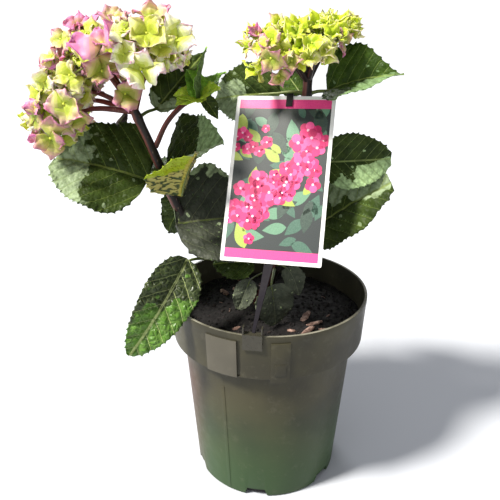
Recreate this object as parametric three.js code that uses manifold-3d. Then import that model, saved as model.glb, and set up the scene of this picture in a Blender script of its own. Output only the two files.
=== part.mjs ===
// A young mophead hydrangea in a round nursery pot, with its picture tag on a stake.
// Millimetres, +Z up. The origin is the centre of the pot's flat underside, -Y is the front.
import * as THREE from 'three';
import { mergeVertices } from 'three/addons/utils/BufferGeometryUtils.js';
import Module from 'manifold-3d';

const wasm = await Module();
wasm.setup();

// Driving dimensions
const GAP = 0.3; // clearance between pieces that touch
const POT_HEIGHT = 205;
const POT_SIDES = 40;
const BAND_HEIGHT = 46; // the stepped rim band at the top of the pot
const RIM_RADIUS = 100;
const BAND_FOOT_RADIUS = 97.5;
const BODY_TOP_RADIUS = 88;
const BASE_RADIUS = 75.5;
const WALL = 2.4;
const STEP_THICKNESS = 4; // of the ledge between band and body
const RIM_ROUND = 0.6;
const RIM_ROUND_HEIGHT = 1;
const FLOOR = 2.6;
const DRAIN_SLOTS = 6;
const DRAIN_WIDTH = 22;
const DRAIN_HEIGHT = 8;
const DRAIN_DEPTH = 14;
const BAND_PANELS = [ // raised panels on the band, by bearing and height
  { from: -125, to: -106, low: 160, high: 203, proud: 1.2 },
  { from: -87.5, to: -76, low: 158, high: 201, proud: 0.8 },
];
const PANEL_STEPS = 4;
const PANEL_ROOT = 1; // how far a panel is sunk in the band
const DRAIN_BEARING = -97; // of the slot at the front, in degrees from +X towards +Y

const SOIL_LEVEL = 182; // flat top of the potting mix round the stems
const SOIL_EDGE_DROP = 5; // the mix lies this much lower at the wall
const SOIL_FLAT_RADIUS = 34;
const SOIL_TAPER_GAP = 0.2; // more clearance in the tapered band
const CHIP_SINK = 1;
const CHIP_TILT = 0.125; // of its turn

const FOOT_TOP = 200; // the short woody foot between soil and fork
const FOOT_RADIUS = [9.5, 7.5];
const FOOT_CENTRE = [-6, 8];
const BISECTIONS = 24;

const LEAF_THICKNESS = 1.3;
const LEAF_ROWS = 8;
const LEAF_COLUMNS = 2;
const TOOTH = 0.07; // depth of the margin's teeth against the half width
const WIDEST = 0.68; // exponent that puts the widest place below the middle of a blade
const TIP_HALF_WIDTH = 0.5;
const PETIOLE_RADIUS = [1.5, 0.7];
const PETIOLE_BOW = 0.06; // of its length
const PETIOLE_RUN = [0.04, 0.22]; // it runs on under the midrib between these shares of the blade
const PETIOLE_SIDES = 4;
const PETIOLE_STEPS = 4;

const SEPAL_THICKNESS = 1.0;
const FLORET_SIDES = 8; // a tip and a notch to each of the four sepals
const PEDICEL_RADIUS = 0.9;
const PEDUNCLE_RADIUS = [3.0, 1.5];
const PEDUNCLE_RISE = 6;
const GOLDEN_ANGLE = 137.5;
const SPIRAL_JITTER = 30;
const LEAST_FACING = -0.15; // a floret that turns further into the head is left out
const SEPAL_DISH = [0.16, 0.26]; // of its reach, at a tip and at a notch
const BUD_LENGTH = 7;
const BUD_RADIUS = [1.9, 1.2];
const BLADE_SINK = 1.5; // a shoot leaf's root in the twig

const CARD_SIZE = [92, 155, 0.9];
const CARD_CENTRE = [7, -30, 328];
const CARD_LEAN = 30; // degrees back from upright
const CARD_TURN = -14; // degrees about the vertical
const CARD_ROLL = 2.3; // degrees in its own plane
const STAKE_THICKNESS = 1.6;
const STAKE_WIDTH = [2.6, 8]; // at the clip and behind the card
const STAKE_AT = 4; // where the stake crosses the card's upper edge, from the card's middle
const STAKE_SHIFT = 5; // and this much nearer the middle at its lower edge
const HOOK_INSET = 2;
const HOOK_DROP = 12;
const CLIP_BEARING = -97.6;
const CLIP_WIDTH = 18;
const CLIP_WALL = 1.3;
const CLIP_DROP = [14, 8]; // outside and inside the rim
const CLIP_EAR = 8;
const CLIP_CLEARANCE = 1.2; // inside the curved and tapered rim

// Colours
const LEAF_GREEN = 0x34501f;
const YOUNG_GREEN = 0x7ba32c;
const LIME = 0xc6d54c;
const BLUSH = 0xd8c3a0;
const BARK = 0x4a2f2a;

// Seeded random numbers between 0 and 1
function seeded(seed) {
  let state = seed;
  return () => {
    state = (state + 0x6d2b79f5) | 0;
    let mixed = Math.imul(state ^ (state >>> 15), 1 | state);
    mixed = (mixed + Math.imul(mixed ^ (mixed >>> 7), 61 | mixed)) ^ mixed;
    return ((mixed ^ (mixed >>> 14)) >>> 0) / 4294967296;
  };
}

// Vectors
const vec = (point) => new THREE.Vector3(...point);
const UP = vec([0, 0, 1]);

function heading(bearing, rise) {
  const turn = THREE.MathUtils.degToRad(bearing);
  const lift = THREE.MathUtils.degToRad(rise);
  return vec([Math.cos(turn) * Math.cos(lift), Math.sin(turn) * Math.cos(lift), Math.sin(lift)]);
}

// Solids from geometry, and back
function solid(geometry) {
  const bare = geometry.clone();
  bare.deleteAttribute('normal');
  bare.deleteAttribute('uv');
  const merged = mergeVertices(bare);
  return new wasm.Manifold(new wasm.Mesh({
    numProp: 3,
    vertProperties: new Float32Array(merged.attributes.position.array),
    triVerts: new Uint32Array(merged.index.array),
  }));
}

function geometryOf(body) {
  const mesh = body.getMesh();
  const geometry = new THREE.BufferGeometry();
  geometry.setAttribute('position', new THREE.BufferAttribute(mesh.vertProperties, 3));
  geometry.setIndex(new THREE.BufferAttribute(mesh.triVerts, 1));
  geometry.computeVertexNormals();
  return geometry;
}

const joined = (bodies) => bodies.reduce((all, body) => all.add(body));

function reshape(geometry, place) {
  const position = geometry.attributes.position;
  for (let i = 0; i < position.count; i += 1) {
    const moved = place(position.getX(i), position.getY(i), position.getZ(i));
    position.setXYZ(i, moved.x, moved.y, moved.z);
  }
  return geometry;
}

// A tapering limb along a curve: a unit cylinder whose rings are laid along it
function limb(curve, radii, { sides = 8, steps = 8, grow = 0 } = {}) {
  const frames = curve.computeFrenetFrames(steps);
  const points = curve.getSpacedPoints(steps);
  return solid(reshape(new THREE.CylinderGeometry(1, 1, steps, sides, steps), (x, y, z) => {
    const ring = Math.round(y + steps / 2);
    const along = ring / steps;
    const radius = radii[0] + (radii[1] - radii[0]) * along + grow;
    const end = ring === 0 ? -grow : ring === steps ? grow : 0;
    return points[ring].clone()
      .addScaledVector(frames.tangents[ring], end)
      .addScaledVector(frames.binormals[ring], x * radius)
      .addScaledVector(frames.normals[ring], z * radius);
  }));
}

// A raised panel follows the band's round and taper
const bandRadius = (height) => (
  RIM_RADIUS - ((POT_HEIGHT - height) * (RIM_RADIUS - BAND_FOOT_RADIUS)) / BAND_HEIGHT);

function panelSolid({ from, to, low, high, proud }) {
  const size = [PANEL_ROOT + proud, 1, high - low];
  const panel = new THREE.BoxGeometry(...size, 1, PANEL_STEPS, 1);
  return solid(reshape(panel, (x, y, z) => {
    const height = z + (low + high) / 2;
    const radius = bandRadius(height) + x + (proud - PANEL_ROOT) / 2;
    return heading(from + (y + 0.5) * (to - from), 0).multiplyScalar(radius).setZ(height);
  }));
}

// Pot: one closed profile turned about the axis
function potSolid() {
  const bandFoot = POT_HEIGHT - BAND_HEIGHT;
  const ledge = bandFoot + STEP_THICKNESS;
  const inside = (radius) => radius - WALL;
  const profile = [
    [0, 0],
    [BASE_RADIUS, 0],
    [BODY_TOP_RADIUS, ledge],
    [BAND_FOOT_RADIUS - WALL, ledge],
    [BAND_FOOT_RADIUS - WALL, bandFoot],
    [BAND_FOOT_RADIUS, bandFoot],
    [RIM_RADIUS, POT_HEIGHT - RIM_ROUND_HEIGHT],
    [RIM_RADIUS - RIM_ROUND, POT_HEIGHT],
    [inside(RIM_RADIUS) + RIM_ROUND, POT_HEIGHT],
    [inside(RIM_RADIUS), POT_HEIGHT - RIM_ROUND_HEIGHT],
    [inside(BAND_FOOT_RADIUS), ledge + WALL],
    [inside(BODY_TOP_RADIUS), ledge + WALL],
    [inside(BASE_RADIUS), FLOOR],
    [0, FLOOR],
  ].map(([radius, height]) => new THREE.Vector2(radius, height));
  const shell = new THREE.LatheGeometry(profile, POT_SIDES);
  shell.rotateX(Math.PI / 2);
  let pot = solid(shell);
  for (let slot = 0; slot < DRAIN_SLOTS; slot += 1) {
    const bearing = THREE.MathUtils.degToRad(DRAIN_BEARING + (slot * 360) / DRAIN_SLOTS);
    const cutter = new THREE.BoxGeometry(DRAIN_DEPTH, DRAIN_WIDTH, DRAIN_HEIGHT * 2);
    cutter.translate(BASE_RADIUS, 0, 0);
    cutter.rotateZ(bearing);
    pot = pot.subtract(solid(cutter));
  }
  return joined([pot, ...BAND_PANELS.map(panelSolid)]);
}

// Potting mix: fills the pot to the soil level, with a few chips of bark sunk in its top
const BARK_CHIPS = [
  { at: [38, -20], size: [20, 7, 4], turn: 65 },
  { at: [46, -32], size: [17, 6, 4], turn: 20 },
  { at: [54, -41], size: [15, 5, 3], turn: -15 },
  { at: [39, -46], size: [19, 8, 4], turn: 50 },
  { at: [23, -46], size: [8, 5, 3], turn: 0 },
  { at: [-30, -44], size: [9, 5, 3], turn: 30 },
  { at: [-48, 34], size: [16, 7, 4], turn: 120 },
  { at: [30, 55], size: [14, 6, 3], turn: 160 },
];

function mixSolid() {
  const bandFoot = POT_HEIGHT - BAND_HEIGHT;
  const wall = WALL + GAP;
  const step = bandFoot + STEP_THICKNESS + WALL + GAP;
  const edge = SOIL_LEVEL - SOIL_EDGE_DROP;
  const profile = [
    [0, FLOOR + GAP],
    [BASE_RADIUS - wall, FLOOR + GAP],
    [BODY_TOP_RADIUS - wall, step],
    [bandRadius(bandFoot) - wall - SOIL_TAPER_GAP, step],
    [bandRadius(edge) - wall - SOIL_TAPER_GAP, edge],
    [SOIL_FLAT_RADIUS, SOIL_LEVEL],
    [0, SOIL_LEVEL],
  ].map(([radius, height]) => new THREE.Vector2(radius, height));
  const fill = new THREE.LatheGeometry(profile, POT_SIDES);
  fill.rotateX(Math.PI / 2);
  const chips = BARK_CHIPS.map(({ at, size, turn }) => {
    const chip = new THREE.BoxGeometry(...size);
    chip.rotateX(THREE.MathUtils.degToRad(turn * CHIP_TILT));
    chip.rotateZ(THREE.MathUtils.degToRad(turn));
    chip.translate(at[0], at[1], SOIL_LEVEL - CHIP_SINK);
    return solid(chip);
  });
  return joined([solid(fill), ...chips]);
}

// Stems: each is one curve from the foot, with its radii at the two ends
const footAxis = new THREE.LineCurve3(
  vec([...FOOT_CENTRE, SOIL_LEVEL + GAP]),
  vec([...FOOT_CENTRE, FOOT_TOP]),
);

const STEMS = {
  left: {
    through: [
      [-12, 7, 197], [-52, 3, 238], [-87, 0, 284], [-104, -5, 331], [-113, -8, 357], [-124, -10, 385],
    ],
    radii: [5.2, 3.9],
    steps: 12,
  },
  right: {
    through: [[-1, 9, 197], [14, 12, 250], [26, 13, 310], [32, 14, 375], [33, 14, 410]],
    radii: [5.2, 4.2],
    steps: 12,
  },
  side: {
    through: [[-107, -6, 350], [-95, -4, 373], [-81, 3, 387], [-68, 7, 392]],
    radii: [2.6, 1.7],
    steps: 6,
  },
};

for (const stem of Object.values(STEMS)) {
  stem.curve = new THREE.CatmullRomCurve3(stem.through.map(vec));
}

// The point of a stem's axis at a given height
function axisAt(stem, height) {
  let [low, high] = [0, 1];
  for (let i = 0; i < BISECTIONS; i += 1) {
    const middle = (low + high) / 2;
    if (stem.curve.getPoint(middle).z < height) low = middle;
    else high = middle;
  }
  return stem.curve.getPoint(low);
}

const stemSolid = (stem, grow = 0) => limb(stem.curve, stem.radii, { sides: 10, steps: stem.steps, grow });
const footSolid = (grow = 0) => limb(footAxis, FOOT_RADIUS, { sides: 12, steps: 2, grow });

// Leaves: `at` is the height on the stem, and `petiole` and `blade` are [length, bearing, rise].
// `roll` turns the face about the midrib, `fold` lifts the two halves, `arch` bows the midrib
// and `point` draws the tip out.
const LEAVES = [
  {
    name: 'left_leaf_1', stem: 'left', at: 377, petiole: [28, 64, 8], blade: [72, 20, 46],
    width: 36, roll: 49, fold: 10, arch: 2, point: 0.6,
  },
  {
    name: 'left_leaf_2', stem: 'left', at: 330, petiole: [81, 135, 18], blade: [23, 13, 54],
    width: 11, roll: -125, fold: 30, arch: 2, point: 0.4,
  },
  {
    name: 'left_leaf_3', stem: 'left', at: 320, petiole: [17, -143, 1], blade: [92, 173, 11],
    width: 97, roll: -42, fold: 8, arch: 5, point: -0.1,
  },
  {
    name: 'left_leaf_4', stem: 'left', at: 305, petiole: [41, -67, 12], blade: [45, -44, 63],
    width: 70, roll: 11, fold: 27, arch: 2, point: 0.25,
  },
  {
    name: 'left_leaf_5', stem: 'left', at: 318, petiole: [35, 97, 11], blade: [67, -20, 23],
    width: 97, roll: 26, fold: 25, arch: 0, point: 0.15,
  },
  {
    name: 'left_leaf_6', stem: 'left', at: 281, petiole: [13, -116, -21], blade: [99, 20, 0],
    width: 115, roll: 38, fold: 13, arch: 1, point: 0.45,
  },
  {
    name: 'left_leaf_7', stem: 'left', at: 281, petiole: [21, 92, 33], blade: [43, 166, -62],
    width: 43, roll: -64, fold: 7, arch: 1, point: 0.3,
  },
  {
    name: 'left_leaf_8', stem: 'left', at: 226, petiole: [65, -126, 25], blade: [104, -142, -51],
    width: 51, roll: -67, fold: 14, arch: 10, point: 0.05,
  },
  {
    name: 'left_leaf_9', stem: 'left', at: 222, petiole: [44, -52, 30], blade: [42, 172, -8],
    width: 36, roll: -55, fold: 12, arch: 3, point: 0.3,
  },
  {
    name: 'left_leaf_10', stem: 'left', at: 312, petiole: [24, 118, 20], blade: [82, 140, -22],
    width: 66, roll: 0, fold: 12, arch: 6, point: 0.4,
  },
  {
    name: 'left_leaf_11', stem: 'left', at: 262, petiole: [26, 100, 20], blade: [92, 92, -24],
    width: 76, roll: 0, fold: 10, arch: 7, point: 0.4,
  },
  {
    name: 'left_leaf_12', stem: 'left', at: 236, petiole: [30, 92, 12], blade: [80, 84, -16],
    width: 62, roll: 0, fold: 12, arch: 8, point: 0.4,
  },
  {
    name: 'right_leaf_1', stem: 'right', at: 396, petiole: [25, 171, 2], blade: [75, 151, -9],
    width: 58, roll: -74, fold: 23, arch: 5, point: 0.35,
  },
  {
    name: 'right_leaf_2', stem: 'right', at: 396, petiole: [18, -7, 12], blade: [72, -26, 15],
    width: 67, roll: 46, fold: 31, arch: 5, point: 0.95,
  },
  {
    name: 'right_leaf_3', stem: 'right', at: 390, petiole: [14, 112, 21], blade: [44, 116, 25],
    width: 32, roll: -34, fold: 8, arch: 3, point: 0.4,
  },
  {
    name: 'right_leaf_4', stem: 'right', at: 304, petiole: [43, -32, 49], blade: [64, 3, 3],
    width: 52, roll: 78, fold: 16, arch: 4, point: 0,
  },
  {
    name: 'right_leaf_5', stem: 'right', at: 289, petiole: [31, -21, -52], blade: [93, -15, 37],
    width: 71, roll: 41, fold: 2, arch: 4, point: -0.1,
  },
  {
    name: 'right_leaf_6', stem: 'right', at: 340, petiole: [24, 110, 15], blade: [86, 100, -18],
    width: 66, roll: 0, fold: 12, arch: 7, point: 0.4,
  },
  {
    name: 'right_leaf_7', stem: 'right', at: 262, petiole: [26, 60, 15], blade: [90, 62, -24],
    width: 70, roll: 0, fold: 12, arch: 8, point: 0.4,
  },
  {
    name: 'right_leaf_8', stem: 'right', at: 300, petiole: [26, 128, 22], blade: [60, 128, -16],
    width: 56, roll: 0, fold: 12, arch: 6, point: 0.4,
  },
  {
    name: 'low_leaf_1', stem: 'right', at: 221, petiole: [51, -93, 6], blade: [43, 14, -84],
    width: 43, roll: 73, fold: 7, arch: 1, point: 0.1,
  },
  {
    name: 'low_leaf_2', stem: 'right', at: 217, petiole: [47, -119, 12], blade: [33, -157, -67],
    width: 21, roll: -59, fold: 9, arch: 4, point: 0.05,
  },
  {
    name: 'low_leaf_3', stem: 'right', at: 224, petiole: [28, -66, 19], blade: [30, -34, -59],
    width: 24, roll: 22, fold: 10, arch: 4, point: 0.25,
  },
];

const halfWidth = (leaf, v) => Math.max(
  TIP_HALF_WIDTH,
  (leaf.width / 2) * Math.max(0, Math.sin(Math.PI * v ** WIDEST)) ** (0.5 + leaf.point * v),
);

// The blade's own axes: along the midrib, out of the face and to the side
function bladeAxes(leaf) {
  const along = heading(leaf.blade[1], leaf.blade[2]);
  const face = UP.clone().addScaledVector(along, -UP.dot(along)).normalize();
  face.applyAxisAngle(along, THREE.MathUtils.degToRad(leaf.roll));
  return { along, face, side: along.clone().cross(face) };
}

function bladeSolid(leaf, base) {
  const { along, face, side } = bladeAxes(leaf);
  const fold = THREE.MathUtils.degToRad(leaf.fold);
  const sheet = new THREE.BoxGeometry(2, LEAF_ROWS, 1, LEAF_COLUMNS, LEAF_ROWS, 1);
  return solid(reshape(sheet, (x, y, z) => {
    const row = Math.round(y + LEAF_ROWS / 2);
    const v = row / LEAF_ROWS;
    const tooth = Math.abs(x) === 1 ? 1 + TOOTH * (row % 2 === 0 ? -1 : 1) : 1;
    const out = x * halfWidth(leaf, v) * tooth;
    const bow = leaf.arch * 4 * v * (1 - v);
    const lift = Math.abs(out) * Math.sin(fold) + bow;
    const depth = (z - 0.5) * LEAF_THICKNESS;
    const lean = -Math.sign(x) * Math.sin(fold);
    return base.clone()
      .addScaledVector(along, v * leaf.blade[0])
      .addScaledVector(side, out * Math.cos(fold) + depth * lean)
      .addScaledVector(face, lift + depth * Math.cos(fold));
  }));
}

const bladeBase = (leaf) => axisAt(STEMS[leaf.stem], leaf.at)
  .addScaledVector(heading(leaf.petiole[1], leaf.petiole[2]), leaf.petiole[0]);

// A leaf is its blade and its petiole, which runs on under the midrib, cut clear of its stem
function leafSolid(leaf) {
  const stem = STEMS[leaf.stem];
  const start = axisAt(stem, leaf.at);
  const base = bladeBase(leaf);
  const { along, face } = bladeAxes(leaf);
  const bow = (v) => leaf.arch * 4 * v * (1 - v) - LEAF_THICKNESS / 2;
  const under = (v) => base.clone().addScaledVector(along, v * leaf.blade[0]).addScaledVector(face, bow(v));
  const sag = start.clone().lerp(base, 0.5).addScaledVector(UP, PETIOLE_BOW * leaf.petiole[0]);
  const path = new THREE.CatmullRomCurve3([start, sag, ...PETIOLE_RUN.map(under)]);
  const petiole = limb(path, PETIOLE_RADIUS, { sides: PETIOLE_SIDES, steps: PETIOLE_STEPS });
  return bladeSolid(leaf, base).add(petiole).subtract(stemSolid(stem, GAP));
}

// Flower heads: branches run from the stem's tip to the cymes, and a pedicel from the nearest
// cyme carries each floret, given as [x, y, z, radius, bearing, rise of its face]
const HEADS = {
  left: {
    stem: 'left',
    cymes: [
      [-196, -10, 374], [-179, -12, 402], [-154, -12, 427], [-124, -18, 433],
      [-95, -10, 432], [-160, 32, 425], [-116, 32, 431], [-196, 24, 384],
    ],
    florets: [
      [-80, -30, 447, 18, -60, 15], [-101, -45, 451, 18, -90, 40], [-104, -10, 462, 17, -70, 70],
      [-136, -5, 459, 16, -110, 65], [-158, -5, 453, 14, -120, 60], [-164, -25, 444, 14, -120, 40],
      [-136, -60, 442, 25, -95, 35], [-181, -25, 430, 13, -150, 20], [-121, -35, 453, 16, -95, 50],
      [-105, -58, 425, 21, -80, 5], [-137, -55, 423, 17.5, -95, 5], [-126, -30, 402, 16, -75, -20],
      [-167, -45, 418, 16, -110, 30], [-197, -20, 414, 14, -160, 20], [-175, -45, 395, 19, -90, 0],
      [-201, -30, 400, 15, -140, 20], [-168, -35, 383, 14, -60, -20], [-207, -30, 380, 13, -140, 0],
      [-188, -50, 367, 18, -100, -20], [-206, -25, 362, 11, -140, -30],
    ],
    fill: { seed: 11, reach: 21, perCyme: 13, radius: [15, 19], spacing: 0.6 },
    beside: 'left_leaf_1',
    notch: 0.76,
  },
  right: {
    stem: 'right',
    cymes: [
      [-8, -10, 436], [8, -15, 437], [24, -12, 440], [45, -8, 442],
      [60, 4, 447], [14, 24, 440], [44, 26, 445], [40, -20, 430], [8, -26, 426],
    ],
    florets: [
      [-12, -15, 449, 9, -130, 40], [-18, -20, 440, 10, -150, 10], [4, -5, 456, 11, -110, 60],
      [0, -35, 446, 12, -110, 30], [-1, -45, 433, 13, -100, -5], [6, -30, 418, 10, -90, -25],
      [18, -30, 449, 13, -90, 50], [36, -10, 457, 13, -80, 60], [55, -5, 457, 13, -60, 60],
      [67, 0, 452, 11, -20, 30], [30, -38, 433, 11, -90, 10], [45, -30, 434, 11, -60, 10],
      [16, -42, 431, 9.5, -90, 0], [58, -15, 445, 11, -40, 10], [32, -38, 444, 12, -85, 35],
      [48, -25, 449, 12, -70, 40],
    ],
    fill: { seed: 23, reach: 15, perCyme: 10, radius: [10, 13], spacing: 0.66 },
    beside: 'right_leaf_3',
    notch: 0.6,
  },
};

function leafDistance(leaf, point) {
  const base = bladeBase(leaf);
  const { along } = bladeAxes(leaf);
  const share = THREE.MathUtils.clamp(point.clone().sub(base).dot(along), 0, leaf.blade[0]);
  return base.addScaledVector(along, share).distanceTo(point);
}

// Fill florets: a spiral of places round each cyme, kept where it faces out of the head and is free
function fillFlorets(head, foot) {
  const { seed, reach, perCyme, radius, spacing } = head.fill;
  const random = seeded(seed);
  const leaf = LEAVES.find(({ name }) => name === head.beside);
  const placed = head.florets.map((floret) => [vec(floret.slice(0, 3)), floret[3]]);
  const fill = [];
  for (const cyme of head.cymes) {
    const centre = vec(cyme);
    const outward = centre.clone().sub(foot).normalize();
    for (let k = 0; k < perCyme; k += 1) {
      const rise = Math.asin(1 - (2 * k + 1) / perCyme);
      const facing = heading(k * GOLDEN_ANGLE + random() * SPIRAL_JITTER, THREE.MathUtils.radToDeg(rise));
      const size = radius[0] + (radius[1] - radius[0]) * random();
      const at = centre.clone().addScaledVector(facing, reach);
      const free = placed.every(([other, near]) => other.distanceTo(at) > (near + size) * spacing);
      const room = leafDistance(leaf, at) > leaf.width / 2 + size;
      if (facing.dot(outward) > LEAST_FACING && free && room) {
        placed.push([at, size]);
        fill.push({ at, size, facing });
      }
    }
  }
  return fill;
}

// A floret is a dished disc whose rim is cut into four sepals
function floretSolid(at, radius, facing, notch, turn) {
  const toFace = new THREE.Quaternion().setFromUnitVectors(vec([0, 1, 0]), facing);
  const disc = new THREE.CylinderGeometry(1, 1, SEPAL_THICKNESS, FLORET_SIDES, 1);
  return solid(reshape(disc, (x, y, z) => {
    const ring = Math.hypot(x, z);
    const corner = Math.round((Math.atan2(x, z) / (2 * Math.PI)) * FLORET_SIDES + FLORET_SIDES) % 2;
    const reach = ring * radius * (corner === 0 ? notch : 1);
    const bearing = Math.atan2(x, z) + turn;
    const dish = reach * SEPAL_DISH[corner === 0 ? 1 : 0];
    return vec([Math.sin(bearing) * reach, y + dish, Math.cos(bearing) * reach])
      .applyQuaternion(toFace)
      .add(at);
  }));
}

const straight = (from, to) => new THREE.LineCurve3(from, to);

function headSolid(head) {
  const stem = STEMS[head.stem];
  const foot = stem.curve.getPoint(1);
  const lead = foot.clone().sub(stem.curve.getTangent(1).multiplyScalar(2));
  const cymes = head.cymes.map(vec);
  const random = seeded(head.fill.seed + 1);
  const branches = cymes.map((cyme) => {
    const rise = foot.clone().lerp(cyme, 0.5).addScaledVector(stem.curve.getTangent(1), PEDUNCLE_RISE);
    return limb(new THREE.CatmullRomCurve3([lead, rise, cyme]), PEDUNCLE_RADIUS, { sides: 5, steps: 3 });
  });
  const shown = head.florets.map(([x, y, z, size, bearing, rise]) => (
    { at: vec([x, y, z]), size, facing: heading(bearing, rise) }));
  const florets = [...shown, ...fillFlorets(head, foot)].flatMap(({ at, size, facing }) => {
    const nearest = cymes.reduce((best, cyme) => (cyme.distanceTo(at) < best.distanceTo(at) ? cyme : best));
    const seat = at.clone().addScaledVector(facing, SEPAL_THICKNESS / 3);
    const pedicel = limb(straight(nearest, seat), [PEDICEL_RADIUS, PEDICEL_RADIUS], { sides: 3, steps: 1 });
    return [floretSolid(at, size, facing, head.notch, random() * Math.PI), pedicel];
  });
  return joined([...branches, ...florets]).subtract(stemSolid(stem, GAP));
}

// Young shoot: small narrow leaves fused round the side stem's tip
const SHOOT_LEAVES = [
  { blade: [48, -27, 79], width: 19, roll: 30, fold: 24, arch: 2, point: 0.4 },
  { blade: [28, -149, 10], width: 15, roll: -40, fold: 20, arch: 2, point: 0.4 },
  { blade: [30, 160, 62], width: 20, roll: -30, fold: 16, arch: 2, point: 0.4 },
  { blade: [26, -34, 25], width: 18, roll: 40, fold: 20, arch: 2, point: 0.4 },
  { blade: [31, -139, -8], width: 17, roll: -20, fold: 12, arch: 2, point: 0.4 },
  { blade: [27, 20, -55], width: 12, roll: 70, fold: 20, arch: 2, point: 0.4 },
  { blade: [40, 86, 18], width: 22, roll: 0, fold: 18, arch: 3, point: 0.4 },
  { blade: [34, 40, 40], width: 18, roll: 0, fold: 18, arch: 3, point: 0.4 },
];

function shootSolid() {
  const tip = STEMS.side.curve.getPoint(1);
  const bud = tip.clone().addScaledVector(STEMS.side.curve.getTangent(1), BUD_LENGTH);
  const twig = limb(straight(tip, bud), BUD_RADIUS, { sides: 6, steps: 1 });
  const blades = SHOOT_LEAVES.map((leaf, i) => {
    const seat = tip.clone().lerp(bud, (i + 3) / (SHOOT_LEAVES.length + 3));
    return bladeSolid(leaf, seat.addScaledVector(heading(leaf.blade[1], leaf.blade[2]), -BLADE_SINK));
  });
  return joined([twig, ...blades]).subtract(stemSolid(STEMS.side, GAP));
}

// Tag: the card and its stake lie in the card's own plane, x across and y up
const cardPlace = new THREE.Group();
cardPlace.position.set(...CARD_CENTRE);
cardPlace.rotation.order = 'ZXY';
cardPlace.rotation.set(
  THREE.MathUtils.degToRad(90 - CARD_LEAN),
  0,
  THREE.MathUtils.degToRad(CARD_TURN),
);
cardPlace.rotateZ(THREE.MathUtils.degToRad(CARD_ROLL));
cardPlace.updateMatrixWorld();

// Clip: a saddle over the rim with two upright ears, built along +X and turned to its place
function clipSolid(grow = 0) {
  const inner = RIM_RADIUS - WALL - GAP - CLIP_CLEARANCE;
  const outer = RIM_RADIUS + GAP;
  const top = POT_HEIGHT + GAP;
  const plate = ([x0, x1], [y0, y1], [z0, z1]) => {
    const box = new THREE.BoxGeometry(x1 - x0 + 2 * grow, y1 - y0 + 2 * grow, z1 - z0 + 2 * grow);
    box.translate((x0 + x1) / 2, (y0 + y1) / 2, (z0 + z1) / 2);
    box.rotateZ(THREE.MathUtils.degToRad(CLIP_BEARING));
    return solid(box);
  };
  const half = CLIP_WIDTH / 2;
  const lap = top + CLIP_WALL / 2;
  const ear = [inner - CLIP_WALL / 2, outer + CLIP_WALL / 2];
  return joined([
    plate([inner - CLIP_WALL, outer + CLIP_WALL], [-half, half], [top, top + CLIP_WALL]),
    plate([outer, outer + CLIP_WALL], [-half, half], [top - CLIP_DROP[0], lap]),
    plate([inner - CLIP_WALL, inner], [-half, half], [top - CLIP_DROP[1], lap]),
    plate(ear, [-half, CLIP_WALL - half], [lap, top + CLIP_EAR]),
    plate(ear, [half - CLIP_WALL, half], [lap, top + CLIP_EAR]),
  ]);
}

function stakeSolid() {
  const [, height, thickness] = CARD_SIZE;
  const seat = POT_HEIGHT + 2 * GAP + CLIP_WALL;
  const clipTop = heading(CLIP_BEARING, 0).multiplyScalar(RIM_RADIUS - WALL / 2).setZ(seat);
  const foot = cardPlace.worldToLocal(clipTop.clone());
  const back = -thickness / 2 - GAP - STAKE_THICKNESS;
  const top = height / 2 + GAP + STAKE_THICKNESS;
  const outline = new THREE.Shape([
    [foot.x - STAKE_WIDTH[0] / 2, foot.y],
    [foot.x + STAKE_WIDTH[0] / 2, foot.y],
    [STAKE_AT + STAKE_WIDTH[1] / 2 - STAKE_SHIFT, -height / 2],
    [STAKE_AT + STAKE_WIDTH[1] / 2, top],
    [STAKE_AT - STAKE_WIDTH[1] / 2, top],
    [STAKE_AT - STAKE_WIDTH[1] / 2 - STAKE_SHIFT, -height / 2],
  ].map(([x, y]) => new THREE.Vector2(x, y)));
  const blade = new THREE.ExtrudeGeometry(outline, { depth: STAKE_THICKNESS, bevelEnabled: false });
  blade.translate(0, 0, back);
  const hookDepth = 2 * (STAKE_THICKNESS + GAP) + thickness;
  const over = new THREE.BoxGeometry(STAKE_WIDTH[1] - HOOK_INSET, STAKE_THICKNESS, hookDepth);
  over.translate(STAKE_AT, top - STAKE_THICKNESS / 2, 0);
  const tongue = new THREE.BoxGeometry(STAKE_WIDTH[1] - HOOK_INSET, HOOK_DROP, STAKE_THICKNESS);
  tongue.translate(STAKE_AT, top - HOOK_DROP / 2, thickness / 2 + GAP + STAKE_THICKNESS / 2);
  const parts = [blade, over, tongue].map((part) => solid(part.applyMatrix4(cardPlace.matrixWorld)));
  return joined(parts).subtract(clipSolid(GAP));
}

// Scene graph
const group = new THREE.Group();

function addMesh(parent, name, geometry, color, { roughness = 0.6, metalness = 0 } = {}) {
  const material = new THREE.MeshStandardMaterial({ color, roughness, metalness });
  const mesh = new THREE.Mesh(geometry, material);
  mesh.name = name;
  parent.add(mesh);
}

addMesh(group, 'pot', geometryOf(potSolid()), 0x57573f, { roughness: 0.5 });
addMesh(group, 'potting_mix', geometryOf(mixSolid()), 0x16120f, { roughness: 1 });
addMesh(group, 'main_stem', geometryOf(footSolid()), BARK);
addMesh(group, 'left_stem', geometryOf(stemSolid(STEMS.left).subtract(footSolid(GAP))), BARK);
addMesh(
  group,
  'right_stem',
  geometryOf(stemSolid(STEMS.right).subtract(footSolid(GAP)).subtract(stemSolid(STEMS.left, GAP))),
  BARK,
);
addMesh(group, 'side_stem', geometryOf(stemSolid(STEMS.side).subtract(stemSolid(STEMS.left, GAP))), 0x7a4038);
for (const leaf of LEAVES) {
  addMesh(group, leaf.name, geometryOf(leafSolid(leaf)), LEAF_GREEN);
}
addMesh(group, 'side_shoot_leaves', geometryOf(shootSolid()), YOUNG_GREEN);
addMesh(group, 'left_flower_head', geometryOf(headSolid(HEADS.left)), BLUSH);
addMesh(group, 'right_flower_head', geometryOf(headSolid(HEADS.right)), LIME);
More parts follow.
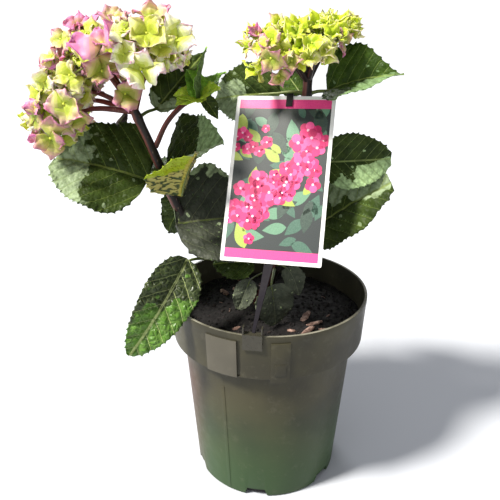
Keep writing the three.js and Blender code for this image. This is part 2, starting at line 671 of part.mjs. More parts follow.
addMesh(group, 'rim_clip', geometryOf(clipSolid()), 0x7d7f80, { roughness: 0.3 });
addMesh(group, 'tag_stake', geometryOf(stakeSolid()), 0x2b2730, { roughness: 0.4 });
addMesh(cardPlace, 'tag_card', new THREE.BoxGeometry(...CARD_SIZE), 0xe8559a, { roughness: 0.35 });
group.add(cardPlace);

export default group;
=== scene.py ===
"""A young mophead hydrangea in a nursery pot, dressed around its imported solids.

Sizes are millimetres where no other unit is named, +Z is up and -Y is the front. The limbs,
leaves and flower heads grow by the same rules and sizes as the solids that they stand for.
"""

import logging
from contextlib import contextmanager
from dataclasses import dataclass, field
from enum import Enum
from functools import partial
from math import asin, atan2, copysign, cos, degrees, dist, exp, hypot, pi, radians, sin, sqrt
from random import Random
from typing import Callable, Iterator, Sequence

import bpy
import numpy as np
from mathutils import Matrix, Vector, noise


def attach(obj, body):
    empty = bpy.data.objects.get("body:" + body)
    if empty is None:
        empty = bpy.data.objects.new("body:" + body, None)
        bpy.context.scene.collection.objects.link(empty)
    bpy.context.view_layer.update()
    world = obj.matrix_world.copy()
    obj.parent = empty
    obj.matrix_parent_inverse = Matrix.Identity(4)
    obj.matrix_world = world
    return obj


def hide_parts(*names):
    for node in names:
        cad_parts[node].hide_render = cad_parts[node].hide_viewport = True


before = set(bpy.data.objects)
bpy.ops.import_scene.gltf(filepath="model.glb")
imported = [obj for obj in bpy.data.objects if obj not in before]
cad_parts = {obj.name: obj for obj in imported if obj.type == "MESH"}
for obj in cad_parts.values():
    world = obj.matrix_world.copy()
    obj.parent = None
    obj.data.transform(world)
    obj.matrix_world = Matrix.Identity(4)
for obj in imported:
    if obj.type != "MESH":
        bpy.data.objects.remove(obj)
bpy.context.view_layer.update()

MM = 0.001
LOG = logging.getLogger("hydrangea")
BODY = "root"
UP = np.array([0.0, 0.0, 1.0])
EAST = np.array([1.0, 0.0, 0.0])
TINY = 1e-9  # keeps a length that divides from being nothing
Array = np.ndarray
Point = Sequence[float]
Face = tuple[int, ...]
Outline = Sequence[tuple[float, float]]
Material = bpy.types.Material
Piece = bpy.types.Object


# Directions, curves and random numbers


def heading(bearing: float, rise: float) -> Array:
    """Gives the unit vector with a bearing from +X towards +Y and a rise, in degrees."""
    turn, lift = radians(bearing), radians(rise)
    return np.array([cos(turn) * cos(lift), sin(turn) * cos(lift), sin(lift)])


def unit(vector: Array) -> Array:
    """Gives a vector's direction."""
    return vector / max(float(np.linalg.norm(vector)), TINY)


def across_to(vector: Array, steep: float) -> Array:
    """Gives a direction across a unit vector, level unless the vector is steeper than a limit."""
    return unit(np.cross(vector, UP if abs(vector[2]) < steep else EAST))


def turned(vector: Array, axis: Array, amount: float) -> Array:
    """Turns a vector about a unit axis.

    Args:
        vector: The vector.
        axis: The unit axis.
        amount: How far it turns, in degrees.

    Returns:
        The turned vector.
    """
    angle = radians(amount)
    return (vector * cos(angle) + np.cross(axis, vector) * sin(angle)
            + axis * float(np.dot(axis, vector)) * (1 - cos(angle)))


class Seeded:
    """Seeded random numbers between 0 and 1, the same as those of the solids."""

    WORD = 0xFFFFFFFF
    STEP = 0x6D2B79F5

    def __init__(self, seed: int) -> None:
        """Starts at a seed."""
        self.state = seed

    def __call__(self) -> float:
        """Draws the next number.

        Returns:
            The number.
        """
        word = self.WORD
        self.state = (self.state + self.STEP) & word
        mixed = ((self.state ^ (self.state >> 15)) * (1 | self.state)) & word
        mixed = ((mixed + (((mixed ^ (mixed >> 7)) * (61 | mixed)) & word)) & word) ^ mixed
        return ((mixed ^ (mixed >> 14)) & word) / (word + 1)


class Curve:
    """A centripetal Catmull-Rom curve through points."""

    FINE = 12
    HALVINGS = 24
    LEAST_KNOT = 1e-4
    NEAR_END = 0.9999

    def __init__(self, through: Sequence[Point]) -> None:
        """Keeps the points, with one more beyond each end.

        Args:
            through: The points.
        """
        points = [np.array(p, float) for p in through]
        self.points = [2 * points[0] - points[1], *points, 2 * points[-1] - points[-2]]
        self.spans = len(points) - 1

    def at(self, share: float) -> Array:
        """Gives the point at a share of the curve's parameter.

        Args:
            share: The share, from 0 to 1.

        Returns:
            The point.
        """
        place = min(max(share, 0.0), 1.0) * self.spans
        span = min(int(place), self.spans - 1)
        w = place - span
        p0, p1, p2, p3 = self.points[span:span + 4]
        pairs = ((p0, p1), (p1, p2), (p2, p3))
        d0, d1, d2 = (max(float(np.linalg.norm(b - a)) ** 0.5, self.LEAST_KNOT) for a, b in pairs)
        t1 = ((p1 - p0) / d0 - (p2 - p0) / (d0 + d1) + (p2 - p1) / d1) * d1
        t2 = ((p2 - p1) / d1 - (p3 - p1) / (d1 + d2) + (p3 - p2) / d2) * d1
        return p1 + t1 * w + (-3 * p1 + 3 * p2 - 2 * t1 - t2) * w ** 2 + (2 * p1 - 2 * p2 + t1 + t2) * w ** 3

    def spaced(self, steps: int) -> Array:
        """Gives points at even distances along the curve.

        Args:
            steps: How many steps there are.

        Returns:
            The points, one a row.
        """
        count = steps * self.FINE
        fine = np.array([self.at(i / count) for i in range(count + 1)])
        run = np.concatenate([[0.0], np.cumsum(np.linalg.norm(np.diff(fine, axis=0), axis=1))])
        return np.array([[np.interp(run[-1] * i / steps, run, fine[:, k]) for k in range(3)]
                         for i in range(steps + 1)])

    def height(self, z: float) -> Array:
        """Gives the curve's point at a height, on a curve that climbs.

        Args:
            z: The height.

        Returns:
            The point.
        """
        low, high = 0.0, 1.0
        for _ in range(self.HALVINGS):
            middle = (low + high) / 2
            if self.at(middle)[2] < z:
                low = middle
            else:
                high = middle
        return self.at(low)

    def tangent(self) -> Array:
        """Gives the direction at the curve's far end."""
        return unit(self.at(1.0) - self.at(self.NEAR_END))


# Meshes

TUBE_MAP = 400.0  # millimetres of a tube's length across the whole UV map


class Weave:
    """Faces gathered for one joined mesh, with a material slot for each face."""

    def __init__(self) -> None:
        """Starts empty."""
        self.vertices: list[Array] = []
        self.faces: list[Face] = []
        self.slots: list[int] = []
        self.uvs: list[Array] = []
        self.paled: list[Array] = []
        self.count = 0

    def add(self, points: Array, faces: list[Face], slots: int | Sequence[int] = 0,
            uv: Array | None = None, paled: Array | None = None) -> None:
        """Adds one shell.

        Args:
            points: Vertices in millimetres, one a row.
            faces: Vertex numbers of each face within the shell.
            slots: One material slot, or one for each face.
            uv: A map place for each vertex, where the finish reads one.
            paled: How much painted sunlight lies on each vertex, from 0 to 1.
        """
        self.vertices.append(np.asarray(points, float))
        self.faces.extend(tuple(i + self.count for i in face) for face in faces)
        self.slots.extend([slots] * len(faces) if isinstance(slots, int) else slots)
        self.uvs.append(np.zeros((len(points), 2)) if uv is None else uv)
        self.paled.append(np.zeros(len(points)) if paled is None else paled)
        self.count += len(points)

    def build(self, name: str, materials: Sequence[Material], smooth: bool = True) -> Piece:
        """Makes the object, in metres, with a UV map.

        Args:
            name: The piece's name.
            materials: The material of each slot.
            smooth: Whether its faces are shaded smooth.

        Returns:
            The new object.
        """
        mesh = bpy.data.meshes.new(name)
        points = np.concatenate(self.vertices) * MM
        mesh.from_pydata(points.tolist(), [], self.faces)
        for material in materials:
            mesh.materials.append(material)
        mesh.polygons.foreach_set("material_index", self.slots)
        mesh.polygons.foreach_set("use_smooth", [smooth] * len(self.faces))
        layer = mesh.uv_layers.new(name="Surface")
        corners = np.zeros(len(mesh.loops), int)
        mesh.loops.foreach_get("vertex_index", corners)
        layer.data.foreach_set("uv", np.concatenate(self.uvs)[corners].ravel())
        # the leaves' share of painted sunlight goes into a mesh attribute that their finishes read
        paled = np.concatenate(self.paled)
        if paled.any():
            mesh.attributes.new("paled", "FLOAT", "POINT").data.foreach_set("value", paled)
        mesh.validate()
        piece = bpy.data.objects.new(name, mesh)
        bpy.context.scene.collection.objects.link(piece)
        return piece


def circle(count: int) -> list[tuple[float, float]]:
    """Gives the cosine and sine of even places round a circle."""
    turns = [2 * pi * k / count for k in range(count)]
    return [(cos(turn), sin(turn)) for turn in turns]


def ring_faces(rows: int, sides: int, first: int = 0, flipped: bool = False) -> list[Face]:
    """Numbers the faces between rings of vertices that follow one another.

    Args:
        rows: How many rows of faces there are.
        sides: Vertices in a ring.
        first: The number of the first ring's first vertex.
        flipped: Whether the faces look the other way.

    Returns:
        The faces, row by row.
    """
    faces = []
    for row in range(rows):
        for k in range(sides):
            a, b = first + row * sides + k, first + row * sides + (k + 1) % sides
            faces.append((a, a + sides, b + sides, b) if flipped else (a, b, b + sides, a + sides))
    return faces


def thick_sheet(grid: Array, thickness: float) -> tuple[Array, list[Face], int]:
    """Closes a grid of points into a thin solid.

    Args:
        grid: Points of the upper face, rows by columns by three.
        thickness: The solid's thickness, below the grid.

    Returns:
        The vertices, the faces with the upper ones first, and the number of upper faces.
    """
    rows, columns = grid.shape[0] - 1, grid.shape[1] - 1
    across, along = np.gradient(grid, axis=1), np.gradient(grid, axis=0)
    normal = np.cross(across, along)
    normal /= np.maximum(np.linalg.norm(normal, axis=2, keepdims=True), TINY)
    upper = grid.reshape(-1, 3)
    lower = (grid - normal * thickness).reshape(-1, 3)
    count = len(upper)
    lines = np.arange(count).reshape(rows + 1, columns + 1).tolist()
    faces = [(low[c], low[c + 1], high[c + 1], high[c])
             for low, high in zip(lines, lines[1:]) for c in range(columns)]
    under = [tuple(i + count for i in reversed(face)) for face in faces]
    rim = (lines[0] + [line[-1] for line in lines[1:]] + lines[-1][-2::-1]
           + [line[0] for line in lines[-2:0:-1]])
    edge = [(a, a + count, b + count, b) for a, b in zip(rim, rim[1:] + rim[:1])]
    return np.concatenate([upper, lower]), faces + under + edge, len(faces)


def tube(weave: Weave, points: Array, radii: Array, sides: int, slot: int = 0,
         relief: Callable[[float, float], float] | None = None) -> None:
    """Adds a closed tube along a line, with no twist in it.

    Args:
        weave: Where the tube goes.
        points: The line's points.
        radii: The radius at each point.
        sides: Faces round the tube.
        slot: The tube's material slot.
        relief: Height of the surface by turn, from 0 to 1, and distance along.
    """
    ahead = np.gradient(points, axis=0)
    ahead /= np.maximum(np.linalg.norm(ahead, axis=1, keepdims=True), TINY)
    side = across_to(ahead[0], 0.9)
    run = np.concatenate([[0.0], np.cumsum(np.linalg.norm(np.diff(points, axis=0), axis=1))])
    vertices, uv = [], []
    for i, point in enumerate(points):
        side = unit(side - ahead[i] * float(np.dot(side, ahead[i])))
        other = np.cross(ahead[i], side)
        for k in range(sides):
            turn = k / sides
            angle = 2 * pi * turn
            radius = radii[i] + (relief(turn, run[i]) if relief else 0.0)
            vertices.append(point + (side * cos(angle) + other * sin(angle)) * radius)
            uv.append((turn, run[i] / TUBE_MAP))
    last = (len(points) - 1) * sides
    faces = ring_faces(len(points) - 1, sides)
    faces.append(tuple(reversed(range(sides))))
    faces.append(tuple(range(last, last + sides)))
    weave.add(np.array(vertices), faces, slot, np.array(uv))


@contextmanager
def editing(kind: str) -> Iterator[None]:
    """Holds the active piece in edit mode, where vertices, edges or faces are selected.

    Args:
        kind: VERT, EDGE or FACE.

    Returns:
        The block that runs in edit mode.
    """
    bpy.ops.object.mode_set(mode="EDIT")
    bpy.ops.mesh.select_mode(type=kind)
    yield
    bpy.ops.object.mode_set(mode="OBJECT")


def deselect() -> None:
    """Clears the selection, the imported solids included."""
    if bpy.context.object and bpy.context.object.mode != "OBJECT":
        bpy.ops.object.mode_set(mode="OBJECT")
    bpy.ops.object.select_all(action="DESELECT")


def take(*pieces: Piece) -> None:
    """Selects pieces alone, and makes the first one active.

    Args:
        pieces: The pieces.
    """
    deselect()
    for piece in pieces:
        piece.select_set(True)
    bpy.context.view_layer.objects.active = pieces[0]


def deselect_mesh(piece: Piece) -> None:
    """Clears the selection inside a piece's mesh."""
    for part in (piece.data.polygons, piece.data.edges, piece.data.vertices):
        part.foreach_set("select", [False] * len(part))


def settle(piece: Piece) -> Piece:
    """Puts a piece's place, turn and size into its mesh.

    Args:
        piece: The piece.

    Returns:
        The same piece.
    """
    take(piece)
    bpy.ops.object.transform_apply(location=True, rotation=True, scale=True)
    return piece


def dress(piece: Piece, slot: str, *nodes: str) -> None:
    """Makes a piece ride on the plant and stand for CAD nodes.

    Args:
        piece: The piece.
        slot: The slot; not used.
        nodes: The CAD nodes.
    """
    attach(piece, BODY)
    if nodes:
        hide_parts(*nodes)
    LOG.info("%s: %d faces", piece.name, len(piece.data.polygons))


# Finishes


def linear(code: str) -> tuple[float, float, float, float]:
    """Turns an sRGB hex colour into a linear one."""
    levels = [int(code[i:i + 2], 16) / 255 for i in (0, 2, 4)]
    return (*(c / 12.92 if c <= 0.04045 else ((c + 0.055) / 1.055) ** 2.4 for c in levels), 1.0)


MAIN_SETTING = {"Math": "operation", "VectorMath": "operation", "MapRange": "interpolation_type",
                "Mix": "data_type"}
SMOOTH = "MapRange SMOOTHSTEP"  # a share that eases in and out


def put(tree: bpy.types.NodeTree, kind: str, inputs: dict | tuple = (), out: int = 0,
        **named: object) -> bpy.types.NodeSocket:
    """Adds a node with its inputs, as values or as links, and its settings.

    Args:
        tree: The material's node tree.
        kind: The node's type name after ShaderNode, then its main setting where it has one.
        inputs: Values, hex colours or sockets, in the inputs' order or by their numbers.
        out: Which output is given back.
        named: Further inputs by name, and settings, whose names have no capital.

    Returns:
        The chosen output socket.
    """
    kind, _, choice = kind.partition(" ")
    node = tree.nodes.new("ShaderNode" + kind)
    if choice:
        setattr(node, MAIN_SETTING[kind], choice)
    numbered = inputs if isinstance(inputs, dict) else dict(enumerate(inputs))
    for name, value in {**named, **numbered}.items():
        if str(name).islower():
            setattr(node, name, value)
        elif isinstance(value, bpy.types.NodeSocket):
            tree.links.new(value, node.inputs[name])
        else:
            node.inputs[name].default_value = linear(value) if isinstance(value, str) else value
    return node.outputs[out]


def surface(name: str, shine: dict) -> tuple[Material, Callable[..., bpy.types.NodeSocket]]:
    """Starts a material with constant sockets set on its shader.

    Args:
        name: The finish's name.
        shine: The shader's constant values, with colours as hex.

    Returns:
        The material, and the function that adds a node to it.
    """
    material = bpy.data.materials.new(name)
    material.use_nodes = True
    shader = next(node for node in material.node_tree.nodes if node.type == "BSDF_PRINCIPLED")
    for socket, value in shine.items():
        shader.inputs[socket].default_value = linear(value) if isinstance(value, str) else value
    return material, partial(put, material.node_tree)


def wire(material: Material, links: dict) -> Material:
    """Links patterns to a material's shader.

    Args:
        material: The material.
        links: The patterns by the names of the shader's sockets.

    Returns:
        The material.
    """
    tree = material.node_tree
    shader = next(node for node in tree.nodes if node.type == "BSDF_PRINCIPLED")
    for socket, value in links.items():
        tree.links.new(value, shader.inputs[socket])
    return material


def per(size: float) -> float:
    """Gives the scale of a pattern on Object coordinates whose features are so many millimetres."""
    return 1 / (size * MM)


VEIN_SPACING = 12.5  # millimetres between side veins on a full-sized leaf
VEIN_SLOPE = 0.8  # a side vein climbs this much for each millimetre out from the midrib
VEIN_CURVE = 0.0035  # and curves on towards the tip
MAP_SPAN = 200.0  # millimetres of a full-sized leaf across the whole UV map


@dataclass(frozen=True)
class LeafFinish:
    """A living hydrangea leaf: thick, waxy and quilted, with a net of paler veins.

    The wax gives it a soft sheen over a deep green, and the sunk veins break the sheen up. Sunlight is
    painted on it as greyer, lighter green patches with ragged edges.
    """

    name: str
    shade: str
    light: str
    vein: str
    # pale is the colour of the painted sunlight
    pale: str = "93a480"
    roughness: float = 0.4
    gloss: float = 0.1
    net: float = 0.015
    bump: float = 0.4
    patch: float = 22.0  # across a lighter patch of the blade
    cell: float = 4.0  # across a cell of the vein net
    grain: float = 1.5  # across the fine puckering
    wander: float = 9.0  # millimetres over which a side vein strays
    lobe: float = 13.0  # across a lobe of the painted sunlit patch's ragged edge
    fleck: float = 7.5  # across the clouds that leave painted sunflecks
    blotch: float = 5.0  # across a duller blotch of the painted sunlit patch

    # Where each pattern starts and ends, and what it gives there
    SIDE_VEIN = (0.01, 0.028, 1.0, 0.0)
    MIDRIB = (0.5, 1.4, 1.0, 0.0)
    NET_EDGE = (0.015, 0.13)
    PATCHES = (0.35, 0.68)
    PALED_EDGE = (1.02, 1.09)
    FLECKS = (0.7, 0.73, 0.0, 0.8)
    BESIDE_VEIN = (0.03, 0.16, 0.72, 1.0)
    BLOTCHES = (0.38, 0.62, 0.62, 1.0)
    PILLOW = (0.0, 0.35)

    def material(self) -> Material:
        """Makes the leaf's material from its own UV map.

        Returns:
            The finish's material.
        """
        material, add = surface(self.name, {
            "IOR": 1.43, "Specular IOR Level": self.gloss, "Subsurface Weight": 0.04,
            "Subsurface Radius": (0.6, 1.0, 0.3), "Subsurface Scale": 0.0008})
        place = add("TexCoord", out=2)
        across = add("SeparateXYZ", (place,))
        centred = add("Math SUBTRACT", (across, 0.5))
        beside = add("Math ABSOLUTE", (centred,))
        out = add("Math MULTIPLY", (beside, MAP_SPAN))
        along = add("Math MULTIPLY", (across.node.outputs[1], MAP_SPAN))
        climb = add("Math MULTIPLY_ADD", (out, -VEIN_SLOPE, along))
        squared = add("Math MULTIPLY", (out, out))
        bend = add("Math MULTIPLY_ADD", (squared, -VEIN_CURVE, climb))
        count = add("Math DIVIDE", (bend, VEIN_SPACING))
        wander = add("TexNoise", Vector=place, Scale=MAP_SPAN / self.wander, Detail=2.0)
        stray = add("Math MULTIPLY_ADD", (wander, 0.16, count))
        away = add("Math PINGPONG", (stray, 0.5))
        side = add(SMOOTH, (away, *self.SIDE_VEIN))
        midrib = add(SMOOTH, (out, *self.MIDRIB))
        cells = add("TexVoronoi", feature="DISTANCE_TO_EDGE", Vector=place, Scale=MAP_SPAN / self.cell)
        net = add(SMOOTH, (cells, *self.NET_EDGE, self.net, 0.0))
        fainter = add("Math MULTIPLY", (side, 0.9))
        main = add("Math MAXIMUM", (midrib, fainter))
        veins = add("Math MAXIMUM", (main, net))
        patches = add("TexNoise", Vector=place, Scale=MAP_SPAN / self.patch, Detail=4.0)
        tone = add(SMOOTH, (patches, *self.PATCHES))
        green = add("Mix RGBA", {0: tone, 6: self.shade, 7: self.light}, 2)
        # painted sunlight: greyer, lighter green patches where the leaf's share and ragged noise reach
        ragged = add("TexNoise", Vector=place, Scale=MAP_SPAN / self.lobe, Detail=3.0)
        share = add("Attribute", out=2, attribute_name="paled")
        reach = add("Math MULTIPLY_ADD", (ragged, 1.1, share))
        edge = add(SMOOTH, (reach, *self.PALED_EDGE))
        # painted shade: the painted sunlight dims in the creases beside the side veins
        crease_shade = add(SMOOTH, (away, *self.BESIDE_VEIN))
        sunned = add("Math MULTIPLY", (edge, crease_shade))
        # painted sunflecks: flecks of pale painted sunlight over every blade
        sunfleck_clouds = add("TexNoise", Vector=place, Scale=MAP_SPAN / self.fleck, Detail=1.5)
        fleck = add(SMOOTH, (sunfleck_clouds, *self.FLECKS))
        paled = add("Math MAXIMUM", (sunned, fleck))
        blotch = add("TexNoise", Vector=place, Scale=MAP_SPAN / self.blotch, Detail=3.0)
        lit = add(SMOOTH, (blotch, *self.BLOTCHES))
        painted_sunlight_mask = add("Math MULTIPLY", (paled, lit))
        body = add("Mix RGBA", {0: painted_sunlight_mask, 6: green, 7: self.pale}, 2)
        drawn = add("Math MULTIPLY", (veins, 0.65))
        grain = add("TexNoise", Vector=place, Scale=MAP_SPAN / self.grain, Detail=3.0)
        pillow = add(SMOOTH, (cells, *self.PILLOW))
        raised = add("Math MULTIPLY_ADD", (grain, 0.2, pillow))
        height = add("Math MULTIPLY_ADD", (side, -0.6, raised))
        rough = (self.roughness - 0.06, self.roughness + 0.1)
        return wire(material, {
            "Base Color": add("Mix RGBA", {0: drawn, 6: body, 7: self.vein}, 2),
            "Roughness": add("MapRange", (grain, 0.3, 0.7, *rough)),
            "Normal": add("Bump", Height=height, Strength=self.bump, Distance=0.001)})


@dataclass(frozen=True)
class PuckeredFinish:
    """A curled yellowing leaf: bright yellow-green towards its tip, and puckered khaki and green below.

    The tip's yellow-green is the leaf's colour brightened by painted sunlight, and the dark green of the
    sunk dimples is painted shade. The puckers stand well proud, so the light breaks up on them, and a
    khaki strip runs on the midrib.
    """

    name: str
    # band is yellow-green brightened by painted sunlight; dimple is painted shade in the dimples
    band: str
    ridge: str
    dimple: str
    midrib: str = "a39c3e"
    cell: float = 5.0  # across a pucker on a full-sized leaf, half that on this one
    lobe: float = 16.0  # across a lobe of the sunlit band's edge

    LIME_EDGE = (0.68, 0.8)
    MIDRIB_STRIP = (4 / MAP_SPAN, 8 / MAP_SPAN, 1.0, 0.0)
    SUNK = (0.5, 0.58)
    SLANT = (0.0, 0.0, 0.3)
    STRETCH = (0.42, 1.0, 1.0)

    def material(self) -> Material:
        """Makes the leaf's material from its own UV map and its paled share.

        Returns:
            The finish's material.
        """
        material, add = surface(self.name, {"IOR": 1.43, "Roughness": 0.42})
        place = add("TexCoord", out=2)
        out = add("Math SUBTRACT", (add("SeparateXYZ", (place,)), 0.5))
        bent = add("TexNoise", Vector=place, Scale=MAP_SPAN / self.lobe, Detail=3.0)
        share = add("Attribute", out=2, attribute_name="paled")
        reach = add("Math MULTIPLY_ADD", (bent, 0.5, share))
        # painted sunlight: the bright band lies where the leaf's paled share reaches
        sunlit_band = add(SMOOTH, (reach, *self.LIME_EDGE))
        away = add("Math ABSOLUTE", (out,))
        strip = add(SMOOTH, (away, *self.MIDRIB_STRIP))
        slanted = add("Mapping", {0: place, 2: self.SLANT, 3: self.STRETCH})
        cells = add("TexNoise", Vector=slanted, Scale=MAP_SPAN / self.cell, Detail=1.0)
        # painted shade: the sunk dimples take the darker green
        sunk = add(SMOOTH, (cells, *self.SUNK))
        shaded_dimples = add("Mix RGBA", {0: sunk, 6: self.ridge, 7: self.dimple}, 2)
        zoned = add("Mix RGBA", {0: sunlit_band, 6: shaded_dimples, 7: self.band}, 2)
        return wire(material, {
            "Base Color": add("Mix RGBA", {0: strip, 6: zoned, 7: self.midrib}, 2),
            "Normal": add("Bump", Height=sunk, Strength=0.8, Distance=-0.0014)})


@dataclass(frozen=True)
class PlainFinish:
    """A petal, bud or stalk in one plain living colour, soft enough to let some light in.

    Its colour is dealt out by face, so the petals' tints lie where they grow.
    """

    name: str
    colour: str
    roughness: float = 0.55
    glow: float = 0.12

    def material(self) -> Material:
        """Makes the material with constant values alone.

        Returns:
            The finish's material.
        """
        return surface(self.name, {
            "Base Color": self.colour, "Roughness": self.roughness, "IOR": 1.38,
            "Subsurface Weight": self.glow, "Subsurface Radius": (1.0, 0.8, 0.5), "Subsurface Scale": 0.002,
            "Sheen Weight": 0.06, "Sheen Roughness": 0.5})[0]


@dataclass(frozen=True)
class PrintFinish:
    """Coated card or the ink on it: smooth and satin, with the faint mottle of offset printing."""

    name: str
    colour: str
    mottle: str
    grain: float = 0.9  # millimetres, coarser than the real screen so that it shows

    def material(self) -> Material:
        """Makes the printed surface on Object coordinates.

        Returns:
            The finish's material.
        """
        material, add = surface(self.name, {"IOR": 1.5})
        place = add("TexCoord", out=3)
        grain = add("TexNoise", Vector=place, Scale=per(self.grain), Detail=2.0)
        share = add("MapRange", (grain, 0.35, 0.65))
        return wire(material, {
            "Base Color": add("Mix RGBA", {0: share, 6: self.colour, 7: self.mottle}, 2),
            "Roughness": add("MapRange", (grain, 0.3, 0.7, 0.3, 0.42))})


@dataclass(frozen=True)
class StemFinish:
    """Young hydrangea bark: smooth and nearly black, reddish brown on the side turned to the light, where
    the sun reddens the bark and painted light brightens it.

    Fine pale lenticels and a slight gloss keep the black from going flat.
    """

    name: str
    dark: str
    flush: str
    # the side where the bark is reddened and painted light falls
    flush_side: tuple[float, float, float] = (-0.93, -0.15, 0.33)
    lenticel: float = 3.6  # millimetres between lenticels
    grain: float = 2.2  # across the bark's fine grain
    cloud: float = 22.0  # millimetres over which the reddening and painted light come and go
    cork: str = "9a7d68"

    FLUSHED = (0.3, 0.75)
    LENTICELS = (0.08, 0.2, 0.3, 0.0)

    def material(self) -> Material:
        """Makes the bark from the stem's own surface directions and Object coordinates.

        Returns:
            The finish's material.
        """
        material, add = surface(self.name, {"IOR": 1.45, "Specular IOR Level": 0.4})
        place = add("TexCoord", out=3)
        broad = add("TexNoise", Vector=place, Scale=per(self.cloud), Detail=3.0)
        normal = add("NewGeometry", out=1)
        # painted light and reddening: reddish brown on the side facing flush_side
        facing = add("VectorMath DOT_PRODUCT", (normal, self.flush_side), 1)
        turned_to = add("Math MULTIPLY_ADD", (broad, 0.4, facing))
        share = add(SMOOTH, (turned_to, *self.FLUSHED))
        long = add("Mapping", {0: place, 3: (1.0, 1.0, 0.45)})
        spots = add("TexVoronoi", Vector=long, Scale=per(self.lenticel))
        fleck = add(SMOOTH, (spots, *self.LENTICELS))
        colour = add("Mix RGBA", {0: share, 6: self.dark, 7: self.flush}, 2)
        grain = add("TexNoise", Vector=place, Scale=per(self.grain), Detail=4.0)
        height = add("Math ADD", (grain, fleck))
        return wire(material, {
            "Base Color": add("Mix RGBA", {0: fleck, 6: colour, 7: self.cork}, 2),
            "Roughness": add("MapRange", (grain, 0.3, 0.7, 0.36, 0.58)),
            "Normal": add("Bump", Height=height, Strength=0.3, Distance=0.0004)})


@dataclass(frozen=True)
class MouldedFinish:
    """Injection-moulded polypropylene: an even satin skin.

    Faint clouds of flow, dust in patches and a very fine grain keep its highlights soft and broken.
    """

    name: str
    colour: str
    tint: str
    roughness: float
    # foot: a green painted reflection low on the pot
    foot: str = ""
    # a darker reddish painted shade on the lower left side
    flank: str = ""
    dust: float = 0.28
    gloss: float = 0.3
    cloud: float = 60.0  # across a flow cloud
    speck: float = 11.0  # across a patch of dust
    grain: float = 1.1  # millimetres, coarser than the real grain so that it shows
    dried: str = "8b8777"

    # Where each tint starts and ends, in metres for places, and how strong it is there
    FOOT = (0.01, 0.135, 0.75, 0.0)
    FLANK = (-0.088, -0.055, 0.62, 0.0)
    FLANK_TOP = (0.11, 0.16, 1.0, 0.0)
    FLOW = (0.35, 0.65)

    def material(self) -> Material:
        """Makes the plastic on Object coordinates, with a painted green reflection low on its foot and
        painted reddish shade on its lower left side, where named.

        Returns:
            The finish's material.
        """
        material, add = surface(self.name, {"IOR": 1.49, "Specular IOR Level": self.gloss})
        place = add("TexCoord", out=3)
        clouds = add("TexNoise", Vector=place, Scale=per(self.cloud), Detail=3.0)
        flow = add(SMOOTH, (clouds, *self.FLOW))
        colour = add("Mix RGBA", {0: flow, 6: self.colour, 7: self.tint}, 2)
        aside = add("SeparateXYZ", (place,))
        height = aside.node.outputs[2]
        # painted reflection: green low on the pot
        if self.foot:
            low = add(SMOOTH, (height, *self.FOOT))
            colour = add("Mix RGBA", {0: low, 6: colour, 7: self.foot}, 2)
        # painted shade: darker and reddish on the lower left side
        if self.flank:
            left = add(SMOOTH, (aside, *self.FLANK))
            below = add(SMOOTH, (height, *self.FLANK_TOP))
            shaded_side = add("Math MULTIPLY", (left, below))
            colour = add("Mix RGBA", {0: shaded_side, 6: colour, 7: self.flank}, 2)
        dust = add("TexNoise", Vector=place, Scale=per(self.speck), Detail=6.0, Roughness=0.7)
        settled = add(SMOOTH, (dust, 0.52, 0.8, 0.0, self.dust))
        grain = add("TexNoise", Vector=place, Scale=per(self.grain), Detail=2.0)
        rough = (self.roughness - 0.06, self.roughness + 0.12)
        return wire(material, {
            "Base Color": add("Mix RGBA", {0: settled, 6: colour, 7: self.dried}, 2),
            "Roughness": add("MapRange", (dust, 0.3, 0.7, *rough)),
            "Normal": add("Bump", Height=grain, Strength=0.12, Distance=0.0003)})


@dataclass(frozen=True)
class SmokyFinish:
    """Smoky polystyrene of the rim clip: thin and glossy, and it lets a little light through."""

    name: str
    colour: str
    milky: str = "4e4b40"
    cloud: float = 6.0  # across a cloudy patch

    def material(self) -> Material:
        """Makes the plastic, a little cloudier in patches.

        Returns:
            The finish's material.
        """
        material, add = surface(self.name, {
            "IOR": 1.59, "Roughness": 0.12, "Specular IOR Level": 0.2, "Transmission Weight": 0.3})
        place = add("TexCoord", out=3)
        clouds = add("TexNoise", Vector=place, Scale=per(self.cloud), Detail=3.0)
        return wire(material, {"Base Color": add("Mix RGBA", {0: clouds, 6: self.colour, 7: self.milky}, 2)})


@dataclass(frozen=True)
class EarthFinish:
    """Damp peaty compost or bark: crumbly and matt, drier and paler on its high spots."""

    name: str
    dark: str
    light: str
    crumb: float = 4.0  # across a crumb

    def material(self) -> Material:
        """Makes the compost on Object coordinates.

        Returns:
            The finish's material.
        """
        material, add = surface(self.name, {"IOR": 1.4})
        place = add("TexCoord", out=3)
        crumbs = add("TexNoise", Vector=place, Scale=per(self.crumb), Detail=6.0, Roughness=0.7)
        dry = add(SMOOTH, (crumbs, 0.42, 0.72))
        return wire(material, {
            "Base Color": add("Mix RGBA", {0: dry, 6: self.dark, 7: self.light}, 2),
            "Roughness": add("MapRange", (crumbs, 0.3, 0.7, 0.95, 0.7)),
            "Normal": add("Bump", Height=crumbs, Strength=0.8, Distance=0.0015)})


# Limbs


